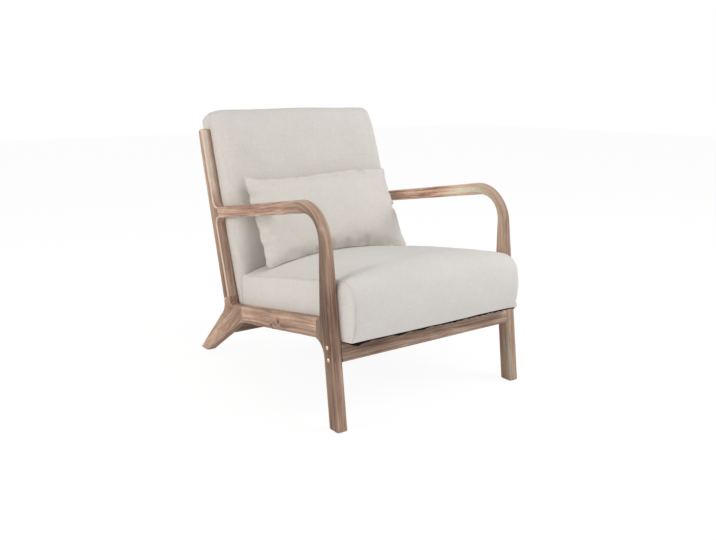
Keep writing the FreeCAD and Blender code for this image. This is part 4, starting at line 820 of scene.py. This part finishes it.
def inflate(vertices, faces, pressure, frames, tension, compression, bending, pinned=None):
    """Blows a closed cloth up and returns where its points end. Points with pinned 1 stay."""
    proxy = mesh_object("proxy", vertices, faces)
    cloth = proxy.modifiers.new("inflate", "CLOTH")
    settings = cloth.settings
    if pinned is not None:
        group = proxy.vertex_groups.new(name="pins")
        for weight in (0.0, 1.0):
            group.add([int(i) for i in np.nonzero(pinned == weight)[0]], weight, "REPLACE")
        settings.vertex_group_mass = "pins"
    for key, value in (("quality", 6), ("mass", 0.3), ("air_damping", 2.0), ("use_pressure", True),
                       ("tension_stiffness", tension), ("compression_stiffness", compression),
                       ("shear_stiffness", compression), ("bending_stiffness", bending),
                       ("uniform_pressure_force", pressure)):
        setattr(settings, key, value)
    settings.effector_weights.gravity = 0.0
    cloth.collision_settings.use_collision = False
    cloth.point_cache.frame_start = 1
    cloth.point_cache.frame_end = frames
    for frame_number in range(1, frames + 1):
        scene.frame_set(frame_number)
    evaluated = proxy.evaluated_get(bpy.context.evaluated_depsgraph_get())
    coords = np.empty(len(vertices) * 3)
    evaluated.data.vertices.foreach_get("co", coords)
    proxy.modifiers.remove(cloth)
    scene.frame_set(1)
    bpy.data.meshes.remove(proxy.data)
    return coords.reshape(-1, 3)


PUFF_CAP = 0.004


def puffed(vertices, faces, pinned):
    """The upholstery's own swell between its seams, at most PUFF_CAP far."""
    coords = inflate(vertices, faces, pressure=1.5, frames=10, tension=45.0, compression=15.0,
                     bending=2.0, pinned=pinned.astype(float))
    moves = coords - vertices
    lengths = np.linalg.norm(moves, axis=1, keepdims=True)
    return vertices + moves * PUFF_CAP / np.maximum(lengths + PUFF_CAP, 1e-9)


def make_seat():
    vertices, faces, uvs, seam_points = boxed(seat_sides, SEAT.place, radius=0.020, counts=(44, 84),
                                              seam_angle=math.radians(38))
    tree = tree_of(seam_points)
    to_seam = np.array([tree.find(vertex)[2] for vertex in vertices])
    _, rise = SEAT.measured(vertices)
    pinned = (to_seam < 0.0048) | (rise < 0.004) | (vertices[:, 1] > SEAT_REAR_Y - 0.004)
    vertices = puffed(vertices, faces, pinned)
    flat_rear = smooth_step(SEAT_REAR_Y - vertices[:, 1], 0.0, 0.030)
    vertices = ruffle(vertices, faces, ((0.16, 0.0022), (0.055, 0.0007)), 1.0, flat_rear)
    vertices, weight = sew(vertices, faces, seam_points, depth=0.0003, width=0.0018, swell=0.0005, seed=1)
    weight *= 0.55 + 0.45 * np.array([noise.noise(Vector(v) * 40) for v in vertices])
    return mesh_object("seat_cushion", vertices, faces, uvs, weight, SEAT_LINEN)


POST_BULGE = 0.0035


def make_back():
    vertices, faces, uvs, seam_points = boxed(back_sides, BACK.place, radius=0.030, counts=(96, 30),
                                              seam_angle=math.radians(74))
    depth, _ = BACK.measured(vertices)
    x, z = vertices[:, 0], vertices[:, 2]
    past_post = smooth_step(depth, 0.040, 0.056) * (1 - smooth_step(depth, 0.078, 0.100))
    past_post *= smooth_step(z, 0.30, 0.36) * (1 - smooth_step(z, 0.715, 0.765))
    past_post *= smooth_step(np.abs(x), 0.262, 0.286)
    pinned = (depth < -0.010) | (z < 0.215)
    vertices = vertices + (POST_BULGE * np.sign(x) * past_post)[:, None] * [1, 0, 0]
    vertices = puffed(vertices, faces, pinned)
    vertices = ruffle(vertices, faces, ((0.2, 0.0025), (0.07, 0.0007)), 2.0)
    vertices, weight = sew(vertices, faces, seam_points, depth=0.0002, width=0.0025, swell=0.0002, seed=2)
    return mesh_object("back_cushion", vertices, faces, uvs, weight * 0.06, BACK_LINEN)


# Lumbar pillow: two flat panels sewn along their edge and blown up.
# Its corners' radii go by the signs of x and z.
PILLOW_PANEL = (0.552, 0.290)
PILLOW_GRID = (92, 48)
PILLOW_HALF_WIDTH = 0.256
PILLOW_HALF_HEIGHT = 0.145
PILLOW_CORNERS = {(-1, -1): 0.024, (-1, 1): 0.007, (1, -1): 0.006, (1, 1): 0.008}
PILLOW_GAP = 0.0008

# Where its top and foot edges run in the chair, at the left end, the middle and the right end
PILLOW_TOP_Y = (0.184, 0.188, 0.191)
PILLOW_FOOT_Y = (0.071, 0.078, 0.056)
PILLOW_FOOT_Z = (0.324, 0.354, 0.339)

# Height of the top edge by its place along it, and how far the two upper corners stand out and up
PILLOW_TOP_Z = {-1: 0.591, -0.6: 0.581, 0.2: 0.587, 1: 0.585}
PILLOW_EARS = {-1: (0.004, 0.004), 1: (0.005, 0.003)}


def pillow_panels():
    """Flat double panel: points (x, y, z), faces, the faces' flat coordinates and the seam's points."""
    wide, tall = PILLOW_PANEL
    columns, rows = PILLOW_GRID
    points = []
    index = {}
    faces = []
    uvs = []
    for side in (-1, 1):
        for i in range(columns + 1):
            for j in range(rows + 1):
                if side == 1 and (i in (0, columns) or j in (0, rows)):
                    index[side, i, j] = index[-1, i, j]
                    continue
                u, v = 2 * i / columns - 1, 2 * j / rows - 1
                index[side, i, j] = len(points)
                lens = 0.004 * (1 - u * u) * (1 - v * v)
                lens *= 1 + 0.5 * noise.noise(Vector((u * 9, v * 5, side * 3.7)))
                points.append((u * wide / 2, side * lens, v * tall / 2))
        for corners in cells(columns, rows, side == 1):
            faces.append([index[(side, *corner)] for corner in corners])
            uvs += [(a * wide / columns + side * 0.9, b * tall / rows) for a, b in corners]
    edge = [index[-1, i, 0] for i in range(columns + 1)] + [index[-1, columns, j] for j in range(1, rows + 1)]
    edge += [index[-1, i, rows] for i in range(columns - 1, -1, -1)]
    edge += [index[-1, 0, j] for j in range(rows - 1, 0, -1)]
    return np.array(points), faces, uvs, edge


def quadratic(u, left, middle, right):
    """A curve through three values, at u = -1, 0 and 1."""
    return middle + u * (right - left) / 2 + u * u * ((right + left) / 2 - middle)


def rounded_corners(u, v):
    """Rounds the corners of the square -1..1 that u and v span."""
    moved_u, moved_v = u.copy(), v.copy()
    for (sign_u, sign_v), radius in PILLOW_CORNERS.items():
        a, b = radius / PILLOW_HALF_WIDTH, radius / PILLOW_HALF_HEIGHT
        p = (np.abs(u) - 1 + a) / a
        q = (np.abs(v) - 1 + b) / b
        inside = (u * sign_u > 0) & (v * sign_v > 0) & (p > 0) & (q > 0)
        share = np.maximum(p, q)[inside] / np.hypot(p[inside], q[inside])
        moved_u[inside] = sign_u * (1 - a + a * p[inside] * share)
        moved_v[inside] = sign_v * (1 - b + b * q[inside] * share)
    return moved_u, moved_v


def edge_reach(along, across, chosen, wanted):
    """A smooth curve through one sewn edge: its distance from the middle at each wanted place."""
    curve = np.polynomial.Polynomial.fit(along[chosen], np.abs(across[chosen]), 6)
    return curve(np.clip(wanted, along[chosen].min(), along[chosen].max()))


def pillow_in_place(blown, flat, edge):
    """Puts the blown-up pillow in the chair, leaning on the back cushion. Its edges get the real run."""
    half_x, half_z = PILLOW_PANEL[0] / 2, PILLOW_PANEL[1] / 2
    edge = np.array(edge)
    x, thick, z = blown.T
    top, foot = edge[flat[edge, 2] > half_z - 1e-6], edge[flat[edge, 2] < -half_z + 1e-6]
    left, right = edge[flat[edge, 0] < -half_x + 1e-6], edge[flat[edge, 0] > half_x - 1e-6]
    u = x / np.where(x < 0, edge_reach(z, x, left, z), edge_reach(z, x, right, z))
    v = z / np.where(z > 0, edge_reach(x, z, top, x), edge_reach(x, z, foot, x))
    thick = thick * np.clip(1 - np.abs(u) ** 6, 0, 1) ** 0.4 * np.clip(1 - np.abs(v) ** 6, 0, 1) ** 0.3
    u, v = rounded_corners(u, v)
    top_y = quadratic(u, *PILLOW_TOP_Y)
    top_z = np.polynomial.Polynomial.fit(list(PILLOW_TOP_Z), list(PILLOW_TOP_Z.values()), 3)(u)
    foot_y = quadratic(u, *PILLOW_FOOT_Y)
    foot_z = quadratic(u, *PILLOW_FOOT_Z)
    span = np.stack([(top_y - foot_y) / 2, (top_z - foot_z) / 2], 1)
    heart = np.stack([(top_y + foot_y) / 2, (top_z + foot_z) / 2], 1)
    up = span / np.linalg.norm(span, axis=1, keepdims=True)
    ahead = np.stack([-up[:, 1], up[:, 0]], 1)
    thick = np.where(thick < 0, 0.84 - 0.20 * smooth_step(u, 0.3, 1.0), 0.95) * thick
    plane = heart + span * v[:, None] - ahead * thick[:, None]
    waist = 1.0 - 0.012 * np.clip(1 - v * v, 0, 1)
    half = PILLOW_HALF_WIDTH + np.where(u < 0, 0.006 + 0.005 * v, 0.003)
    placed = np.column_stack([half * u * waist, plane])
    for sign, (out, lift) in PILLOW_EARS.items():
        ear = np.exp(-((1 - sign * u) / 0.07) ** 2 - ((1 - v) / 0.16) ** 2)
        placed += ear[:, None] * [sign * out, 0.0, lift]
    return placed


def pushed_clear(vertices, surfaces, rounds=3, reach=0.06):
    """Moves points that lie inside or nearer than PILLOW_GAP to other pieces out of them."""
    moved = vertices.copy()
    for _ in range(rounds):
        for index in range(len(moved)):
            point = Vector(moved[index])
            for surface in surfaces:
                found, normal, _, distance = surface.find_nearest(point, reach)
                if found is None:
                    continue
                outside = (point - found).dot(normal)
                if outside < PILLOW_GAP and (outside < 0 or distance < PILLOW_GAP):
                    point += normal * (PILLOW_GAP - outside)
            moved[index] = point
    return moved


def puckered(vertices, faces, edge):
    """Short gathers along the pillow's seam, and a wavy seam line, stronger at the left end."""
    def wave(coarse, seed, fine, fine_seed, drift=0.0):
        detail = noise.noise(Vector((run * fine, fine_seed, drift)))
        return noise.noise(Vector((run * coarse, seed, 0))) + 0.5 * detail

    normals = vertex_normals(vertices, faces)
    tree = tree_of([tuple(vertices[i]) for i in edge])
    travelled = np.append(0, np.cumsum(np.linalg.norm(np.diff(vertices[edge], axis=0), axis=1)))
    heart = vertices.mean(axis=0)
    moved = vertices.copy()
    for index, vertex in enumerate(vertices):
        _, nearest, distance = tree.find(vertex)
        if distance > 0.05:
            continue
        run = travelled[nearest]
        strength, end_share = (0.0085, 1.0) if vertex[0] < 0 else (0.0040, 0.25)
        strength *= math.exp(-distance / 0.020) * min(1, distance / 0.005)
        moved[index] += normals[index] * strength * wave(70, 0.7, 160, 3.1, distance * 20)
        outward = vertices[edge[nearest]] - heart
        outward /= np.linalg.norm(outward)
        at_ends = 0.2 + 0.8 * smooth_step(abs(vertex[0]), 0.22, 0.25) * end_share
        moved[index] += outward * 0.0095 * wave(75, 9.3, 170, 5.0) * at_ends * math.exp(-distance / 0.010)
    return moved


def make_pillow(neighbours):
    points, faces, uvs, edge = pillow_panels()
    blown = inflate(points, faces, pressure=2.8, frames=30, tension=15.0, compression=2.0, bending=4.0)
    blown -= blown[edge].mean(axis=0)
    vertices = pillow_in_place(blown, points, edge)
    vertices = ruffle(vertices, faces, ((0.070, 0.0016), (0.028, 0.0007)), 3.0)
    at_left = smooth_step(-vertices[:, 0], 0.08, 0.20)
    vertices = ruffle(vertices, faces, ((0.045, 0.0032), (0.018, 0.0012)), 4.0, at_left)
    vertices = puckered(vertices, faces, edge)
    vertices = pushed_clear(vertices, neighbours)
    weight = np.zeros(len(vertices))
    weight[edge] = 0.5
    pillow = mesh_object("lumbar_pillow", vertices, faces, uvs, weight, PILLOW_LINEN)
    smooth = pillow.modifiers.new("smooth", "SUBSURF")
    smooth.levels = smooth.render_levels = 1
    return pillow


def thicken(obj, thickness, offset):
    body = obj.modifiers.new("thickness", "SOLIDIFY")
    body.thickness = thickness
    body.offset = offset


# Black cloth under the seat, its front edge folded and tacked unevenly.
# The hem's points are (depth, fall as a share of the sag), the waves are (how often, how tall).
DUST_INSET = 0.004
DUST_HEM = [(-0.0006, 0.0), (0.0010, -0.35), (0.0016, -0.75), (0.0030, -1.0), (0.0062, -0.85), (0.012, -0.35)]
DUST_WAVES = ((26, 0.0026), (85, 0.0026), (210, 0.0014))


def make_dust_cloth():
    columns, rows = 150, 60
    half = HALF_WIDTH - DUST_INSET
    run = DUST_HEM + [(depth, 0.0) for depth in np.linspace(0.02, BOX_REAR - DUST_INSET, rows)]
    vertices = []
    uvs_at = []
    for i in range(columns + 1):
        x = half * (2 * i / columns - 1)
        sag = sum(tall * noise.noise(Vector((x * often, often, 1.3))) for often, tall in DUST_WAVES) + 0.0038
        sag = max(sag + 0.0042 * math.exp(-((x + half - 0.016) / 0.018) ** 2), 0.0008)
        near_side = math.exp(-((half - abs(x)) / 0.012) ** 2)
        for depth, fall in run:
            rise = -0.0013 + fall * sag - near_side * 0.0012 * (1 - abs(fall))
            rise += 0.0005 * noise.noise(Vector((x * 25, depth * 25, 4.0)))
            vertices.append(SEAT.place(x, depth + DUST_INSET * 0.35, rise))
            uvs_at.append((x, depth))
    faces = [[i * len(run) + j for i, j in quad] for quad in cells(columns, len(run) - 1)]
    uvs = [uvs_at[q] for quad in faces for q in quad]
    cloth = mesh_object("dust_cloth", vertices, faces, uvs, None, BLACK_CLOTH)
    thicken(cloth, 0.0006, 0.0)
    return cloth


PANEL_THICKNESS = 0.0012
REAR_PANEL_TOP = 0.780
FOLD = 0.005


def panel_mesh(name, grid, uvs_at, material, seam=None):
    """A fabric panel from a grid of points, given a thickness."""
    columns, rows = len(grid), len(grid[0])
    vertices = [point for column in grid for point in column]
    faces = []
    uvs = []
    for a, b, c, d in cells(columns - 1, rows - 1):
        quad = (a, d, c, b)
        faces.append([i * rows + j for i, j in quad])
        uvs += [uvs_at[i][j] for i, j in quad]
    panel = mesh_object(name, vertices, faces, uvs, seam, material)
    thicken(panel, PANEL_THICKNESS, -1.0)
    return panel


def hem_roll(distance, roll):
    """Height of a folded edge at distance from its fold, as a share of roll."""
    return 1.0 if distance >= roll else math.sqrt(max(0.0, 1 - (1 - distance / roll) ** 2))


def make_rear_band():
    """Cover of the seat box behind the cushion: left side, rear and right side."""
    corner = 0.010
    outer = HALF_WIDTH - 0.0004
    rear = BOX_REAR + 0.0016
    path = [(-outer, None, t) for t in np.linspace(0, 1, 14)]
    for angle in np.linspace(0, math.pi / 2, 9)[1:]:
        path.append((-outer + corner * (1 - math.cos(angle)), rear - corner * (1 - math.sin(angle)), 0))
    around = len(path)
    path += [(x, rear, 0) for x in np.linspace(-outer + corner, outer - corner, 90)[1:-1]]
    path += [(-x, depth, t) for x, depth, t in reversed(path[:around])]
    shares = np.linspace(0, 1, 17)
    grid = []
    uvs_at = []
    travelled = 0.0
    last = None
    for x, depth, t in path:
        column = []
        for share in shares:
            rise = 0.0006 + share * (BOX_TOP - 0.0012)
            start = seat_rear_point(rise)[0] + 0.0006
            here = start + (rear - corner - start) * t if depth is None else depth
            uneven = 1 + 0.5 * noise.noise(Vector((x * 20, here * 20, share * 2)))
            draw = 0.0010 - 0.0012 * (4 * share * (1 - share)) ** 0.5 * uneven
            drawn = here if depth is None else here - draw
            column.append(SEAT.place(x * (outer - draw) / outer, drawn, rise))
        travelled += math.dist((x, here), last) if last else 0.0
        last = (x, here)
        grid.append(column)
        uvs_at.append([(travelled + 1.1, share * BOX_TOP) for share in shares])
    return panel_mesh("seat_rear_cover", grid, uvs_at, SEAT_LINEN)


def make_rear_panel():
    """Outside panel of the back, its edges folded in and blind-stitched."""
    half = HALF_WIDTH - 0.008
    corner = 0.044
    grid = []
    uvs_at = []
    lines = []
    foot = back_foot_point(REAR_FOOT)[1] + 0.003
    for x in half * np.sin(np.linspace(-0.5, 0.5, 81) * math.pi * 0.9) / math.sin(0.45 * math.pi):
        over = max(0.0, abs(x) - (half - corner))
        top = REAR_PANEL_TOP - CORNER_DROP * (1 - math.sqrt(max(0.0, 1 - (over / corner) ** 2)))
        column = []
        marks = []
        for share in (1 - np.cos(np.linspace(0, 1, 97) * math.pi)) / 2:
            rise = foot + share * (top - foot)
            border = min(half - abs(x), rise - foot, top - rise)
            height = 0.0032 * hem_roll(border, FOLD) - 0.0010
            height += 0.0016 * min(1.0, border / 0.05) * (0.6 + noise.noise(Vector((x * 6, rise * 6, 5.0))))
            near_hem = math.exp(-(border / 0.012) ** 2)
            height += 0.0004 * noise.noise(Vector((x * 130, rise * 130, 1))) * near_hem
            plane = REAR_FOOT + (REAR_TOP - REAR_FOOT) * (rise - foot) / (BACK_TOP - REAR_TURN - foot)
            column.append(BACK.place(x, plane - height, rise))
            marks.append((x, rise + 2.0))
            lines.append(0.8 * math.exp(-((border - 0.0012) / 0.0012) ** 2))
        grid.append(column)
        uvs_at.append(marks)
    return panel_mesh("back_rear_panel_cover", grid, uvs_at, BACK_LINEN, lines)


seat = make_seat()
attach(seat, "chair")
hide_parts("seat_cover", "seat_foam")

back = make_back()
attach(back, "chair")
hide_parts("back_cover", "back_foam")

graph = bpy.context.evaluated_depsgraph_get()
pillow = make_pillow([BVHTree.FromObject(obj, graph) for obj in (seat, back)])
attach(pillow, "lumbar_pillow")
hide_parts("pillow_cover", "pillow_insert")

dust_cloth = make_dust_cloth()
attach(dust_cloth, "chair")
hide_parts("seat_dust_cover")

rear_band = make_rear_band()
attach(rear_band, "chair")
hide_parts("seat_rear_band")

rear_panel = make_rear_panel()
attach(rear_panel, "chair")
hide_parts("back_rear_panel")

# Stage: white floor and background, soft studio light
FLOOR_REACH = 12.0


def make_stage():
    floor_mesh = bpy.data.meshes.new("floor")
    corners = [(x * FLOOR_REACH, y * FLOOR_REACH, 0) for x, y in ((-1, -1), (1, -1), (1, 1), (-1, 1))]
    floor_mesh.from_pydata(corners, [], [(0, 1, 2, 3)])
    floor = bpy.data.objects.new("floor", floor_mesh)
    scene.collection.objects.link(floor)
    material = bpy.data.materials.new("floor_white")
    material.use_nodes = True
    net = Nodes(material.node_tree)
    matte = net.add("BsdfDiffuse", {"Color": (0.9, 0.9, 0.9, 1)})
    glow = net.add("Emission", {"Color": (1, 1, 1, 1), "Strength": 1.05})
    paths = net.add("LightPath").outputs
    seen = net.larger(paths["Is Camera Ray"], paths["Is Transmission Ray"])
    net.add("OutputMaterial", {0: net.add("MixShader", {0: net.times(seen, 0.88), 1: matte, 2: glow})})
    floor_mesh.materials.append(material)

    world = bpy.data.worlds.new("studio")
    world.use_nodes = True
    scene.world = world
    net = Nodes(world.node_tree)
    light = net.add("Background", {"Color": (1.0, 0.992, 0.975, 1), "Strength": 0.50})
    white = net.add("Background", {"Color": (1, 1, 1, 1), "Strength": 1.0})
    paths = net.add("LightPath").outputs
    seen = net.larger(paths["Is Camera Ray"], paths["Is Glossy Ray"])
    seen = net.larger(seen, paths["Is Transmission Ray"])
    net.add("OutputWorld", {0: net.add("MixShader", {0: seen, 1: light, 2: white})})


LIGHT_TARGET = Vector((0, 0, 0.4))


def area_light(name, place, size, power, colour):
    data = bpy.data.lights.new(name, "AREA")
    data.shape = "DISK"
    data.size = size
    data.energy = power
    data.color = colour
    aimed(name, data, place, LIGHT_TARGET - Vector(place))


make_stage()
area_light("key", (2.1, -2.2, 2.7), 2.0, 62, (1.0, 0.995, 1.0))
area_light("overhead", (-0.2, -0.4, 3.2), 1.8, 7, (0.98, 1.0, 1.0))
area_light("front_fill", (-0.4, -3.6, 1.0), 1.6, 10, (1.0, 0.99, 0.985))
area_light("warm_fill", (-3.1, 0.35, 1.2), 1.8, 39, (1.0, 0.97, 0.91))

scene.view_settings.view_transform = "Standard"
